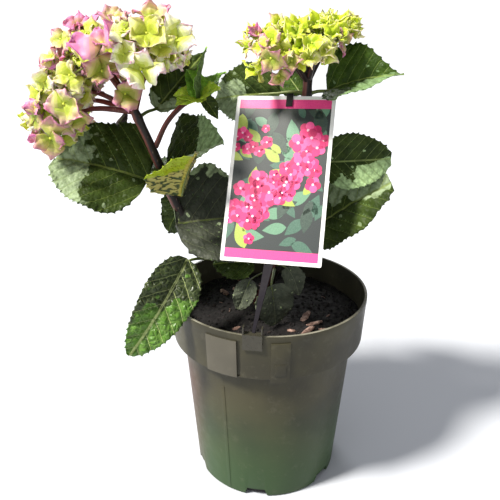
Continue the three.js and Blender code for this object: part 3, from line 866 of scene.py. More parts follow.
@dataclass(frozen=True)
class Limb:
    """One tapering stem along its curve."""

    through: tuple[Point, ...]
    radii: tuple[float, float]
    joints: tuple[float, ...] = ()

    STEP = 1.5  # millimetres between rings
    SIDES = 28
    SWELLING = 0.16  # of the slim end's radius, at a joint
    JOINT_REACH = 3.6
    RIDGES = (1.6, 0.05, 0.28)  # noise round and along, and its height in millimetres
    GRAIN = (5.0, 0.35, 0.13)

    def curve(self) -> Curve:
        """Gives the stem's axis."""
        return Curve(self.through)

    def grow(self, name: str, material: Material, seed: int) -> Piece:
        """Builds the stem with its bark's relief: faint ridges, fine grain and swollen leaf joints.

        Args:
            name: The piece's name.
            material: The bark.
            seed: Where the relief's noise is read.

        Returns:
            The stem's piece.
        """
        length = sum(dist(a, b) for a, b in zip(self.through, self.through[1:]))
        steps = max(8, int(length / self.STEP))
        points = self.curve().spaced(steps)
        radii = np.linspace(*self.radii, steps + 1)
        for height in self.joints:
            near = np.exp(-((points[:, 2] - height) / self.JOINT_REACH) ** 2)
            radii += self.SWELLING * self.radii[1] * near

        def relief(turn: float, run: float) -> float:
            """Height of the bark at a turn and a run, in millimetres.

            Args:
                turn: The turn, from 0 to 1.
                run: Millimetres along.

            Returns:
                The height.
            """
            angle = 2 * pi * turn
            x, y = cos(angle), sin(angle)
            return sum(high * noise.noise(Vector((x * wide, y * wide, run * long + seed)))
                       for wide, long, high in (self.RIDGES, self.GRAIN))

        weave = Weave()
        tube(weave, points, radii, self.SIDES, 0, relief)
        return weave.build(name, [material])


STEMS = {
    "left": Limb(((-12, 7, 197), (-52, 3, 238), (-87, 0, 284), (-104, -5, 331), (-113, -8, 357),
                  (-124, -10, 385)), (5.2, 3.9), (226, 281, 305, 320, 377)),
    "right": Limb(((-1, 9, 197), (14, 12, 250), (26, 13, 310), (32, 14, 375), (33, 14, 410)),
                  (5.2, 4.2), (221, 289, 304, 396)),
    "side": Limb(((-107, -6, 350), (-95, -4, 373), (-81, 3, 387), (-68, 7, 392)), (2.6, 1.7), (385,)),
}
MAIN_STEM = Limb(((-6, 8, 180), (-6, 8, 190), (-6, 8, 200)), (9.5, 7.5))


# Leaves


class Tone(Enum):
    """The leaf colours of the plant."""

    DARK = "dark"
    MID = "mid"
    BRIGHT = "bright"
    GOLD = "gold"
    YOUNG = "young"
    DUSKY = "dusky"
    SHADED = "shaded"
    SUNNED = "sunned"
    FRESH = "fresh"
    DIM = "dim"


# Each finish's pale colour is painted sunlight, laid where a leaf's paled share reaches
LEAF_FINISHES = {
    Tone.DARK: LeafFinish("dark green leaf", "293617", "3b4a1e", "7a8842"),
    Tone.MID: LeafFinish("green leaf", "2c4016", "42591f", "82944c", "7f9a6c"),
    Tone.FRESH: LeafFinish("half pale leaf", "263316", "38461c", "8c9c5c", "a2be88"),
    Tone.DIM: LeafFinish("dim green leaf", "343830", "41453a", "6c7054", "a4b48c"),
    Tone.BRIGHT: LeafFinish("fresh green leaf", "5c8c20", "86bc38", "c0d878", "86b060", 0.36, 0.25, 0.1, 0.7),
    Tone.SUNNED: LeafFinish("half sunned leaf", "29331c", "354124", "ccd890", "547c2c", 0.32, 0.3, 0.08, 0.9),
    # its band colour carries painted sunlight and its third colour painted shade
    Tone.GOLD: PuckeredFinish("yellowing leaf", "90a40e", "9c9850", "33421a"),
    Tone.YOUNG: LeafFinish("young bright leaf", "9cc424", "cce448", "e4ee8c", "a4b86a", 0.36, 0.25, 0.12,
                           0.7),
    Tone.DUSKY: LeafFinish("dusky bract", "3c3430", "55484a", "857472", "857472", 0.5),
    Tone.SHADED: LeafFinish("shaded low leaf", "4c5246", "5e6454", "7a8068", "b0c090", 0.55),
}
UNDERSIDE = LeafFinish("leaf underside", "42582c", "5a7542", "94a674", "8c9c74", 0.62, 0.3, 0.3, 0.5)


@dataclass(frozen=True)
class Blade:
    """A leaf blade: its midrib's length, bearing and rise, and the set of its two halves."""

    blade: Point
    width: float
    roll: float
    fold: float
    arch: float
    point: float = 0.4
    tone: Tone = Tone.DARK
    # painted sunlight: its share at the midrib's foot, and what it gains to the side and towards the tip
    paled: Point = (0.0, 0.0, 0.0)

    WIDEST = 0.68
    TIP_HALF_WIDTH = 0.5
    THICKNESS = 0.45
    TOOTH_PITCH = 5.4
    TOOTH_DEPTH = 3.3
    TOOTH_ROOT = 0.86  # share of the half width where a tooth starts
    ROWS_A_TOOTH = 5
    VEINS = 6.6  # side veins along the blade
    QUILT = 1.9  # millimetres that a full-sized leaf stands up between its side veins
    QUILT_STEEP = 2.6
    QUILT_START = 7.0  # millimetres from the midrib where the quilting is in full
    CROSSING = 0.75  # millimetres, for the pillows between the cross veins
    CROSSING_PITCH = 5.5
    RIPPLES = ((1.0, 1.0), (2.9, 0.7))  # how fine and how high
    RIPPLE_SCALE = 0.13
    WAVE = (0.03, 2.2)  # height as a share of the width, and waves along the margin
    MIDRIB_SUNK = 0.6
    CREASE = 2.0  # millimetres over which the fold at the midrib is rounded
    SPREAD = (0.0, 0.06, 0.13, 0.21, 0.3, 0.39, 0.48, 0.57, 0.66, 0.74, 0.82, 0.89, 0.95, 1.0)

    def half_width(self, v: float) -> float:
        """Gives the blade's half width at a share of its length."""
        wave = max(0.0, sin(pi * v ** self.WIDEST))
        return max(self.TIP_HALF_WIDTH, self.width / 2 * wave ** (0.5 + self.point * v))

    def axes(self) -> tuple[Array, Array, Array]:
        """Gives the directions along the midrib, out of the face and to the side.

        Returns:
            The three unit vectors.
        """
        along = heading(self.blade[1], self.blade[2])
        face = turned(unit(UP - along * float(np.dot(UP, along))), along, self.roll)
        return along, face, np.cross(along, face)

    def surface(self, base: Array, seed: float) -> tuple[Array, Array, Array]:
        """Works out the blade's upper face: toothed margin, sunk veins and quilting between them.

        Painted sunlight covers it by a share at the midrib's foot, and by what that gains to the side and
        towards the tip.

        Args:
            base: Where the midrib starts.
            seed: Where the ripples are read.

        Returns:
            The grid of points, its map places and each point's share of painted sunlight.
        """
        along, face, side = self.axes()
        length = self.blade[0]
        rows = max(7, round(length / self.TOOTH_PITCH)) * self.ROWS_A_TOOTH
        spacing = length / self.VEINS
        scale = spacing / VEIN_SPACING
        depth = self.TOOTH_DEPTH * min(1.0, 0.25 + self.width / 80)
        fold = radians(self.fold)
        spreads = [-s for s in reversed(self.SPREAD[1:])] + list(self.SPREAD)
        grid = np.zeros((rows + 1, len(spreads), 3))
        places = np.zeros((rows + 1, len(spreads), 2))
        paled = np.zeros((rows + 1, len(spreads)))
        foot, aside, onward = self.paled
        for row in range(rows + 1):
            v = row / rows
            half = self.half_width(v)
            tooth, phase = divmod(row, self.ROWS_A_TOOTH)
            phase /= self.ROWS_A_TOOTH
            for column, u in enumerate(spreads):
                bite = max(0.0, (abs(u) - self.TOOTH_ROOT) / (1 - self.TOOTH_ROOT))
                bite *= depth * min(1.0, half / 6)
                bite *= 0.8 + 0.6 * noise.noise(Vector((tooth * 1.7, copysign(3, u), seed)))
                x = u * half + (copysign(bite * (phase * 1.25 - 0.5), u) if u else 0.0)
                y = v * length + bite * (phase - 0.3)
                out = abs(x)
                count = (y - VEIN_SLOPE * out - VEIN_CURVE / scale * out * out) / spacing
                away = abs((count + 0.5) % 1.0 - 0.5) * 2
                quilt = self.QUILT * scale * (1 - (1 - away) ** self.QUILT_STEEP)
                quilt *= min(1.0, out / self.QUILT_START) * (1 - 0.5 * abs(u) ** 3)
                crossing = out / self.CROSSING_PITCH + 0.37 * ((count + 0.5) // 1) + seed
                pillow = abs(sin(pi * crossing)) ** 0.8 * min(1.0, 2 * away, out / 8)
                spot = Vector((x * self.RIPPLE_SCALE, y * self.RIPPLE_SCALE, seed))
                ripple = sum(high * noise.noise(spot * fine) for fine, high in self.RIPPLES)
                swell = sin(2 * pi * (self.WAVE[1] * v + seed + 0.2 * copysign(1, u)))
                wave = self.WAVE[0] * self.width * abs(u) ** 2.5 * swell
                crease = sqrt(out * out + self.CREASE ** 2) - self.CREASE
                lift = crease * sin(fold) + self.arch * 4 * v * (1 - v) + quilt + ripple + wave
                lift += self.CROSSING * scale * pillow - self.MIDRIB_SUNK * exp(-out * out / 3)
                grid[row, column] = base + along * y + side * (x * cos(fold)) + face * lift
                places[row, column] = (0.5 + x / (MAP_SPAN * scale), y / (MAP_SPAN * scale))
                paled[row, column] = min(1.0, max(0.0, foot + aside * u + onward * v))
        return grid, places, paled

    def add_to(self, weave: Weave, base: Array, seed: float, slots: tuple[int, int] = (0, 1)) -> None:
        """Adds the closed blade to a mesh, its upper face in one slot and its underside in the other.

        Args:
            weave: Where it goes.
            base: Where the midrib starts.
            seed: Where the ripples are read.
            slots: The two slots.
        """
        grid, places, paled = self.surface(base, seed)
        points, faces, shown = thick_sheet(grid, self.THICKNESS)
        by_face = [slots[0]] * shown + [slots[1]] * shown + [slots[0]] * (len(faces) - 2 * shown)
        weave.add(points, faces, by_face, np.tile(places.reshape(-1, 2), (2, 1)), np.tile(paled.ravel(), 2))


@dataclass(frozen=True)
class Leaf(Blade):
    """A blade on its petiole, from a height on a stem."""

    node: str = ""
    stem: str = "left"
    at: float = 0.0
    petiole: Point = (0, 0, 0)

    PETIOLE_RADII = ((0, 0.08, 0.45, 1), (2.5, 1.7, 1.2, 0.35))  # by share of its length
    PETIOLE_BOW = 0.06
    PETIOLE_RUN = (0.04, 0.22, 0.55, 0.85)  # where it runs on under the midrib
    PETIOLE_STEPS = 26
    PETIOLE_SINK = 1.3
    SMALL = (40, 0.62)  # a blade shorter than this has a petiole slimmer by this

    def start(self) -> Array:
        """Gives the petiole's place on its stem's axis."""
        return STEMS[self.stem].curve().height(self.at)

    def base(self) -> Array:
        """Gives the blade's base, at the petiole's end."""
        return self.start() + heading(self.petiole[1], self.petiole[2]) * self.petiole[0]

    def grow(self, seed: float, materials: Sequence[Material]) -> Piece:
        """Builds the leaf: blade, and a petiole that runs on under the midrib.

        Args:
            seed: Where its ripples are read.
            materials: Upper face, underside and petiole.

        Returns:
            The leaf's piece.
        """
        start, base = self.start(), self.base()
        along, face, _ = self.axes()
        weave = Weave()
        self.add_to(weave, base, seed)
        under = [base + along * (v * self.blade[0]) + face * (self.arch * 4 * v * (1 - v) - self.PETIOLE_SINK)
                 for v in self.PETIOLE_RUN]
        bow = (start + base) / 2 + UP * (self.PETIOLE_BOW * self.petiole[0])
        slim = self.SMALL[1] if self.blade[0] < self.SMALL[0] else 1.0
        radii = np.interp(np.linspace(0, 1, self.PETIOLE_STEPS + 1), *self.PETIOLE_RADII) * slim
        tube(weave, Curve([start, bow, *under]).spaced(self.PETIOLE_STEPS), radii, 10, 2)
        return weave.build(self.node + "_blade", materials)


# Height on the stem, petiole, then the fields of the blade
LEAF_GROUPS: dict[str, tuple[tuple, ...]] = {
    "left": (
        (377, (28, 64, 8), (72, 20, 46), 36, 49, 10, 2, 0.6, Tone.DARK, (0.7, 0.1, -1.4)),
        (330, (81, 135, 18), (23, 13, 54), 11, -125, 30, 2, 0.4, Tone.DUSKY),
        (320, (17, -143, 1), (92, 173, 11), 97, -42, 8, 5, -0.1, Tone.DARK, (-0.9, -0.25, 2.3)),
        (305, (41, -67, 12), (45, -44, 63), 70, 11, 27, 2, 0.25, Tone.GOLD, (-0.97, 0.6, 2.2)),
        (318, (35, 97, 11), (67, -20, 23), 97, 26, 25, 0, 0.15, Tone.FRESH, (-1.2, 0.2, 3.2)),
        (281, (13, -116, -21), (99, 20, 0), 115, 38, 13, 1, 0.45, Tone.DIM, (-0.5, -1.25, -0.2)),
        (281, (21, 92, 33), (43, 166, -62), 43, -64, 7, 1, 0.3),
        (226, (65, -126, 25), (104, -142, -51), 51, -67, 14, 10, 0.05, Tone.SUNNED, (-0.55, -0.5, 2.3)),
        (222, (44, -52, 30), (42, 172, -8), 36, -55, 12, 3, 0.3),
        (312, (24, 118, 20), (82, 140, -22), 66, 0, 12, 6, 0.4, Tone.MID),
        (262, (26, 100, 20), (92, 92, -24), 76, 0, 10, 7, 0.4, Tone.MID),
        (236, (30, 92, 12), (80, 84, -16), 62, 0, 12, 8, 0.4, Tone.MID),
    ),
    "right": (
        (396, (25, 171, 2), (75, 151, -9), 58, -74, 23, 5, 0.35, Tone.DARK, (-0.1, -0.7, 1.7)),
        (396, (18, -7, 12), (72, -26, 15), 67, 46, 31, 5, 0.95, Tone.MID, (-0.65, 0.7, 1.7)),
        (390, (14, 112, 21), (44, 116, 25), 32, -34, 8, 3, 0.4, Tone.MID),
        (304, (43, -32, 49), (64, 3, 3), 52, 78, 16, 4, 0.0, Tone.FRESH, (-0.3, 0.8, 1.0)),
        (289, (31, -21, -52), (93, -15, 37), 71, 41, 2, 4, -0.1, Tone.DARK, (-0.4, -0.9, 1.5)),
        (340, (24, 110, 15), (86, 100, -18), 66, 0, 12, 7, 0.4, Tone.MID),
        (262, (26, 60, 15), (90, 62, -24), 70, 0, 12, 8, 0.4, Tone.MID),
        (300, (26, 128, 22), (60, 128, -16), 56, 0, 12, 6, 0.4, Tone.MID),
    ),
    "low": (
        (221, (51, -93, 6), (43, 14, -84), 43, 73, 7, 1, 0.1, Tone.SHADED),
        (217, (47, -119, 12), (33, -157, -67), 21, -59, 9, 4, 0.05, Tone.SHADED),
        (224, (28, -66, 19), (30, -34, -59), 24, 22, 10, 4, 0.25, Tone.SHADED),
    ),
}
LEAVES = tuple(
    Leaf(*shape, node=f"{group}_leaf_{number}", stem="left" if group == "left" else "right",
         at=at, petiole=petiole)
    for group, rows in LEAF_GROUPS.items() for number, (at, petiole, *shape) in enumerate(rows, 1))
LEAF_BY_NODE = {one.node: one for one in LEAVES}

SHOOT_BLADES = (
    Blade((48, -27, 79), 24, 30, 20, 2, 0.4, Tone.BRIGHT),
    Blade((28, -149, 10), 20, -40, 16, 2, 0.4, Tone.YOUNG),
    Blade((30, 160, 62), 25, -30, 14, 2, 0.4, Tone.BRIGHT),
    Blade((26, -34, 25), 22, 40, 16, 2, 0.4, Tone.YOUNG),
    Blade((31, -139, -8), 22, -20, 12, 2, 0.4, Tone.YOUNG),
    Blade((27, 20, -55), 15, 70, 18, 2, 0.4, Tone.DARK),
    Blade((40, 86, 18), 26, 0, 18, 3, 0.4, Tone.BRIGHT),
    Blade((34, 40, 40), 22, 0, 18, 3, 0.4, Tone.BRIGHT),
)


@dataclass
class Foliage:
    """Every leaf of the plant, and the young shoot on the side stem."""

    seed: float = 3.0
    seed_step: float = 1.7
    shoot_seed: float = 7.3
    bud_length: float = 7.0
    bud_radii: tuple[float, float] = (1.9, 1.2)
    blade_sink: float = 1.5
    materials: dict[Tone, Material] = field(default_factory=dict)

    def finish(self, tone: Tone) -> Material:
        """Gives a tone's material, made once.

        Args:
            tone: The tone.

        Returns:
            The material.
        """
        if tone not in self.materials:
            self.materials[tone] = LEAF_FINISHES[tone].material()
        return self.materials[tone]

    def build(self) -> None:
        """Builds each leaf and the shoot, and dresses them."""
        under = UNDERSIDE.material()
        stalk = StemFinish("leaf stalk", "4f5c2a", "76804a").material()
        for number, one in enumerate(LEAVES):
            upper = self.finish(one.tone)
            lower = upper if one.tone in (Tone.GOLD, Tone.DUSKY) else under
            dress(one.grow(self.seed + number * self.seed_step, [upper, lower, stalk]), "leaf", one.node)
        self.shoot(under)

    def shoot(self, under: Material) -> None:
        """Builds the young shoot: a green tip with small leaves round it.

        Args:
            under: The leaves' underside.
        """
        axis = STEMS["side"].curve()
        tip = axis.at(1.0)
        bud = tip + axis.tangent() * self.bud_length
        weave = Weave()
        tones = sorted({blade.tone for blade in SHOOT_BLADES}, key=lambda tone: tone.value)
        materials = [self.finish(tone) for tone in tones] + [under]
        count = len(SHOOT_BLADES)
        for i, blade in enumerate(SHOOT_BLADES):
            seat = tip + (bud - tip) * (i + 3) / (count + 3)
            base = seat - heading(blade.blade[1], blade.blade[2]) * self.blade_sink
            blade.add_to(weave, base, self.shoot_seed + i, (tones.index(blade.tone), len(tones)))
        tube(weave, np.linspace(tip, bud, 6), np.linspace(*self.bud_radii, 6), 12, tones.index(Tone.YOUNG))
        dress(weave.build("side_shoot", materials), "young_leaf", "side_shoot_leaves")


# Flowers


class Ramp(Enum):
    """How a floret's sepals are coloured, from the claw out to the edge."""

    LIME = ("9eaa2c", "bfc752", "dad58c", "e6d0b0")
    CREAM = ("b2c046", "dbe09e", "efe6cf", "e2a9c0")
    BLUSH = ("aab842", "cdbf86", "d8a6a6", "c9749e")
    PINK = ("bc9c74", "d08ca6", "d07cab", "bd6496")
    # painted shade: a darker, duller copy of the sepal colours, for the florets that face down
    OLIVE = ("84942c", "aaa25e", "b88a84", "b46c90")
    GREEN = ("93ac14", "b9cd26", "d2e042", "e8ea92")
    TIPPED = ("a4ba1e", "ccd948", "deca92", "cf86aa")

    def shades(self, steps: int) -> list[str]:
        """Gives the ramp's colours in even steps, as hex values.

        Args:
            steps: How many colours.

        Returns:
            The colours.
        """
        keys = [[int(code[i:i + 2], 16) for i in (0, 2, 4)] for code in self.value]
        spots = np.linspace(0, len(keys) - 1, steps)
        mixed = [np.interp(spots, range(len(keys)), [key[i] for key in keys]) for i in range(3)]
        return ["".join(f"{round(level):02x}" for level in shade) for shade in zip(*mixed)]


@dataclass(frozen=True)
class Sepals:
    """The form of a floret's four sepals: how broad, how far they rise and curl, and how pointed."""

    count: int = 4
    breadth: float = 1.12
    lift: tuple[float, float] = (0, 62)
    curl: tuple[float, float] = (-70, 20)
    edge: tuple[float, float] = (-0.35, 0.5)
    point: float = 0.08
    ruffle: float = 0.1
    crumple: float = 0.28
    thickness: float = 0.3
    tints: int = 7

    SPREAD = (-18, 18)  # degrees that a sepal strays from its even place
    LENGTHS = (0.85, 1.12)  # shares of the floret's size
    BREADTHS = (0.82, 1.15)
    CREASES = (-0.05, 0.22)
    TWISTS = (-0.3, 0.3)
    LEANS = (-0.12, 0.12)
    FLUSHES = (-0.16, 0.16)  # how much a sepal's sides differ in colour
    SHIFTS = (-0.1, 0.08)  # how far its colours move along it
    CLOSED = 18  # degrees that a small floret's sepals stand up more
    CLAW = (0.04, 0.92, 0.62)  # where the outline starts, how far it runs and how full it is
    NOTCHES = (0.07, 11)
    FLUTES = (0.03, 7)
    ROUNDED = 0.2
    CUPPED = 0.6


class Fineness(Enum):
    """How finely a sepal is divided, along and across."""

    SHOWN = (12, 10)
    FILL = (6, 5)
    SMALL = (4, 4)


@dataclass(frozen=True)
class Floret:
    """One showy floret: its place, size, facing and colours."""

    at: Array
    size: float
    facing: Array
    ramp: Ramp
    turn: float
    fineness: Fineness = Fineness.SHOWN
    spans: tuple[float, ...] = (1.0, 1.0, 1.0, 1.0)


@dataclass
class FlowerHead:
    """A mophead on a stem's tip: branches to the cymes, stalks to the florets, and buds between."""

    node: str
    slot: str
    stem: str
    cymes: tuple[Point, ...]
    florets: tuple[tuple, ...]
    seed: int
    reach: float
    per_cyme: int
    radius: tuple[float, float]
    spacing: float
    beside: str
    sepals: Sepals
    fill_ramps: tuple[Ramp, ...]
    bark: StemFinish
    extra: tuple[tuple, ...] = ()
    small_ramps: tuple[Ramp, ...] = (Ramp.LIME, Ramp.GREEN)
    small_per_cyme: int = 20
    small_rise: tuple[float, float] = (-25, 80)

    PEDUNCLE = (3.0, 1.5)
    PEDUNCLE_RISE = 6.0
    GOLDEN_ANGLE = 137.5
    SPIRAL_JITTER = 30.0
    LEAST_FACING = -0.15
    SMALL_OUT = (0.5, 1.1)  # share of the reach from the cyme's centre
    SMALL_SIZE = (0.55, 0.95)
    BUDS_A_CYME = 16
    BUD_RISE = (-30, 85)
    BUD_OUT = (0.35, 0.75)
    BUD_RADII = (1.3, 2.3)
    EYE_PROUD = 0.9
    STALK = (1.2, 0.8, 0.7, 0.8, 1.1)
    BUD_STALK = (0.7, 0.5, 0.5)

    def foot(self) -> Array:
        """Gives the stem's tip."""
        return STEMS[self.stem].curve().at(1.0)

    def filled(self) -> list[tuple[Array, float, Array]]:
        """Finds the fill florets' places by the solids' own rule.

        Returns:
            Place, size and facing of each.
        """
        draw = Seeded(self.seed)
        beside = LEAF_BY_NODE[self.beside]
        least, most = self.radius
        base, along = beside.base(), beside.axes()[0]
        placed = [(np.array(one[:3], float), one[3]) for one in self.florets]
        found = []
        for cyme in self.cymes:
            centre = np.array(cyme, float)
            outward = unit(centre - self.foot())
            for k in range(self.per_cyme):
                rise = degrees(asin(1 - (2 * k + 1) / self.per_cyme))
                facing = heading(k * self.GOLDEN_ANGLE + draw() * self.SPIRAL_JITTER, rise)
                size = least + (most - least) * draw()
                at = centre + facing * self.reach
                free = all(np.linalg.norm(other - at) > (near + size) * self.spacing
                           for other, near in placed)
                share = min(max(float(np.dot(at - base, along)), 0.0), beside.blade[0])
                room = np.linalg.norm(base + along * share - at) > beside.width / 2 + size
                if float(np.dot(facing, outward)) > self.LEAST_FACING and free and room:
                    placed.append((at, size))
                    found.append((at, size, facing))
        return found

    def all_florets(self) -> list[Floret]:
        """Lists the shown florets, the fill ones and the small ones, each with its colours and turn.

        Returns:
            The florets, in that order.
        """
        shuffle = Random(self.seed)
        turns = (0, 90)
        shown = [Floret(np.array(one[:3], float), one[3], heading(one[4], one[5]), one[6],
                        one[7] if len(one) > 7 else shuffle.uniform(*turns), Fineness.SHOWN, *one[8:])
                 for one in (*self.florets, *self.extra)]
        fill = [Floret(at, size, facing, shuffle.choice(self.fill_ramps), shuffle.uniform(*turns),
                       Fineness.FILL) for at, size, facing in self.filled()]
        small = []
        for cyme in self.cymes:
            for k in range(self.small_per_cyme):
                bearing = k * self.GOLDEN_ANGLE + shuffle.uniform(0, 60)
                facing = heading(bearing, shuffle.uniform(*self.small_rise))
                at = np.array(cyme, float) + facing * self.reach * shuffle.uniform(*self.SMALL_OUT)
                size = self.radius[0] * shuffle.uniform(*self.SMALL_SIZE)
                small.append(Floret(at, size, facing, shuffle.choice(self.small_ramps),
                                    shuffle.uniform(*turns), Fineness.SMALL))
        return shown + fill + small

    def sepal(self, weave: Weave, floret: Floret, number: int, slot: int, rng: Random) -> None:
        """Adds one sepal: it rises from a narrow claw, cups, ruffles and curls out to its tip.

        Args:
            weave: Where it goes.
            floret: The floret it belongs to.
            number: Which sepal it is.
            slot: The first material slot of the floret's colours.
            rng: The random numbers.
        """
        form = self.sepals
        aim = floret.facing
        turn = floret.turn + number * 360 / form.count + rng.uniform(*form.SPREAD)
        out = turned(across_to(aim, 0.95), aim, turn)
        side = np.cross(aim, out)
        length = floret.size * floret.spans[number] * rng.uniform(*form.LENGTHS)
        breadth = length * form.breadth * rng.uniform(*form.BREADTHS)
        crease, wrinkle = rng.uniform(*form.CREASES), rng.uniform(0, 50)
        closed = form.CLOSED if floret.fineness is Fineness.SMALL else 0
        lift, curl = rng.uniform(*form.lift) + closed, rng.uniform(*form.curl)
        edge, twist, phase = rng.uniform(*form.edge), rng.uniform(*form.TWISTS), rng.uniform(0, 6.28)
        lean, blush, shift = (rng.uniform(*span) for span in (form.LEANS, form.FLUSHES, form.SHIFTS))
        rows, columns = floret.fineness.value
        grid = np.zeros((rows + 1, columns + 1, 3))
        spine = floret.at + aim * (0.7 if number % 2 else 0.0) + out * 0.05 * length
        for row in range(rows + 1):
            t = row / rows
            angle = radians(lift + curl * t ** 1.3)
            ahead_now = out * cos(angle) + aim * sin(angle)
            above = aim * cos(angle) - out * sin(angle)
            if row:
                spine = spine + ahead_now * length / rows
            claw, run, fullness = form.CLAW
            wide = sin(pi * (claw + run * t)) ** fullness * (1 - form.point * t ** 3)
            wide *= 1 + form.NOTCHES[0] * sin(form.NOTCHES[1] * t + 2 * phase)
            half = breadth / 2 * wide
            for column in range(columns + 1):
                s = 2 * column / columns - 1
                rounding = 0.5 * form.point * t ** 5 * (1 - abs(s)) - form.ROUNDED * s * s * t * t
                ruffle = form.ruffle * s * s * sin(9 * t + phase + 1.5 * s)
                ruffle += form.FLUTES[0] * sin(form.FLUTES[1] * s + 5 * t + phase)
                crumple = noise.noise(Vector((s * 1.7, t * 2.6, wrinkle))) * form.crumple
                fold = twist * s * t * 0.5 + (ruffle + crumple) * t
                fold -= (edge * s * s * form.CUPPED + crease * abs(s)) * wide
                grid[row, column] = (spine + side * (s * half + lean * t * length)
                                     + (ahead_now * rounding + above * fold) * length)
        last = form.tints - 1
        tints = []
        for row in range(rows):
            for column in range(columns):
                t, s = (row + 0.5) / rows, 2 * (column + 0.5) / columns - 1
                tone = t ** 1.3 * 0.84 + 0.24 * s * s * t + blush * s * t + shift
                tints.append(slot + min(last, max(0, int(tone * form.tints))))
        points, faces, upper = thick_sheet(grid, form.thickness)
        weave.add(points, faces, tints + tints + [slot + last] * (len(faces) - 2 * upper))

    def build(self) -> None:
        """Builds the florets, the stalks and the buds as three pieces, and dresses them."""
        axis = STEMS[self.stem].curve()
        foot = self.foot()
        lead = foot - axis.tangent() * 2
        cymes = [np.array(cyme, float) for cyme in self.cymes]
        rng = Random(self.seed * 7 + 1)
        tints = self.sepals.tints
        ramps = list(dict.fromkeys([one[6] for one in (*self.florets, *self.extra)]
                                   + [*self.fill_ramps, *self.small_ramps]))
        materials = [PlainFinish(f"sepal {ramp.name.lower()} {i + 1}", code, 0.5, 0.4).material()
                     for ramp in ramps for i, code in enumerate(ramp.shades(tints))]
        starts = {ramp: i * tints for i, ramp in enumerate(ramps)}
        flowers, stalks, buds = Weave(), Weave(), Weave()
        for cyme in cymes:
            rise = (foot + cyme) / 2 + axis.tangent() * self.PEDUNCLE_RISE
            branch = Curve([lead, rise, cyme]).spaced(12)
            tube(stalks, branch, np.linspace(*self.PEDUNCLE, 13), 12, 0)
        for floret in self.all_florets():
            for number in range(self.sepals.count):
                self.sepal(flowers, floret, number, starts[floret.ramp], rng)
            nearest = min(cymes, key=lambda cyme: float(np.linalg.norm(cyme - floret.at)))
            tube(stalks, np.linspace(nearest, floret.at, 5), np.array(self.STALK), 7, 1)
            self.bud(buds, floret.at + floret.facing * self.EYE_PROUD, 0.04 * floret.size + 0.5, rng, 0)
        for cyme in cymes:
            for k in range(self.BUDS_A_CYME):
                spot = heading(k * self.GOLDEN_ANGLE, rng.uniform(*self.BUD_RISE))
                at = cyme + spot * self.reach * rng.uniform(*self.BUD_OUT)
                tube(stalks, np.linspace(cyme, at, 3), np.array(self.BUD_STALK), 5, 1)
                self.bud(buds, at, rng.uniform(*self.BUD_RADII), rng, 1 + k % 2)
        title = self.node.replace("_flower_head", "")
        dress(flowers.build(f"{title}_florets", materials), self.slot, self.node)
        green = PlainFinish("flower stalk", "8fa04a", 0.5).material()
        dress(stalks.build(f"{title}_flower_stalks", [self.bark.material(), green]), "stem")
        greens = (("floret eye", "c9d24a"), ("closed bud green", "b3c62c"), ("closed bud pale", "d3de63"))
        eyes = [PlainFinish(*green, 0.5).material() for green in greens]
        dress(buds.build(f"{title}_buds", eyes), self.slot)

    def bud(self, weave: Weave, at: Array, radius: float, rng: Random, slot: int) -> None:
        """Adds one small round bud of a few dozen faces, a little uneven.

        Args:
            weave: Where it goes.
            at: Its centre.
            radius: Its radius.
            rng: The random numbers.
            slot: Its material slot.
        """
        rings, sides = 5, 8
        squash = rng.uniform(0.85, 1.1)
        points = [at + UP * radius * squash]
        for ring in range(1, rings):
            angle = pi * ring / rings
            for k, (x, y) in enumerate(circle(sides)):
                wide = radius * sin(angle) * (1 + 0.1 * (k % 2))
                points.append(at + np.array([x * wide, y * wide, cos(angle) * radius * squash]))
        points.append(at - UP * radius * squash)
        last, start = len(points) - 1, 1 + (rings - 2) * sides
        faces = [(0, 1 + k, 1 + (k + 1) % sides) for k in range(sides)]
        faces += ring_faces(rings - 2, sides, 1, flipped=True)
        faces += [(last, start + (k + 1) % sides, start + k) for k in range(sides)]
        weave.add(np.array(points), faces, slot)


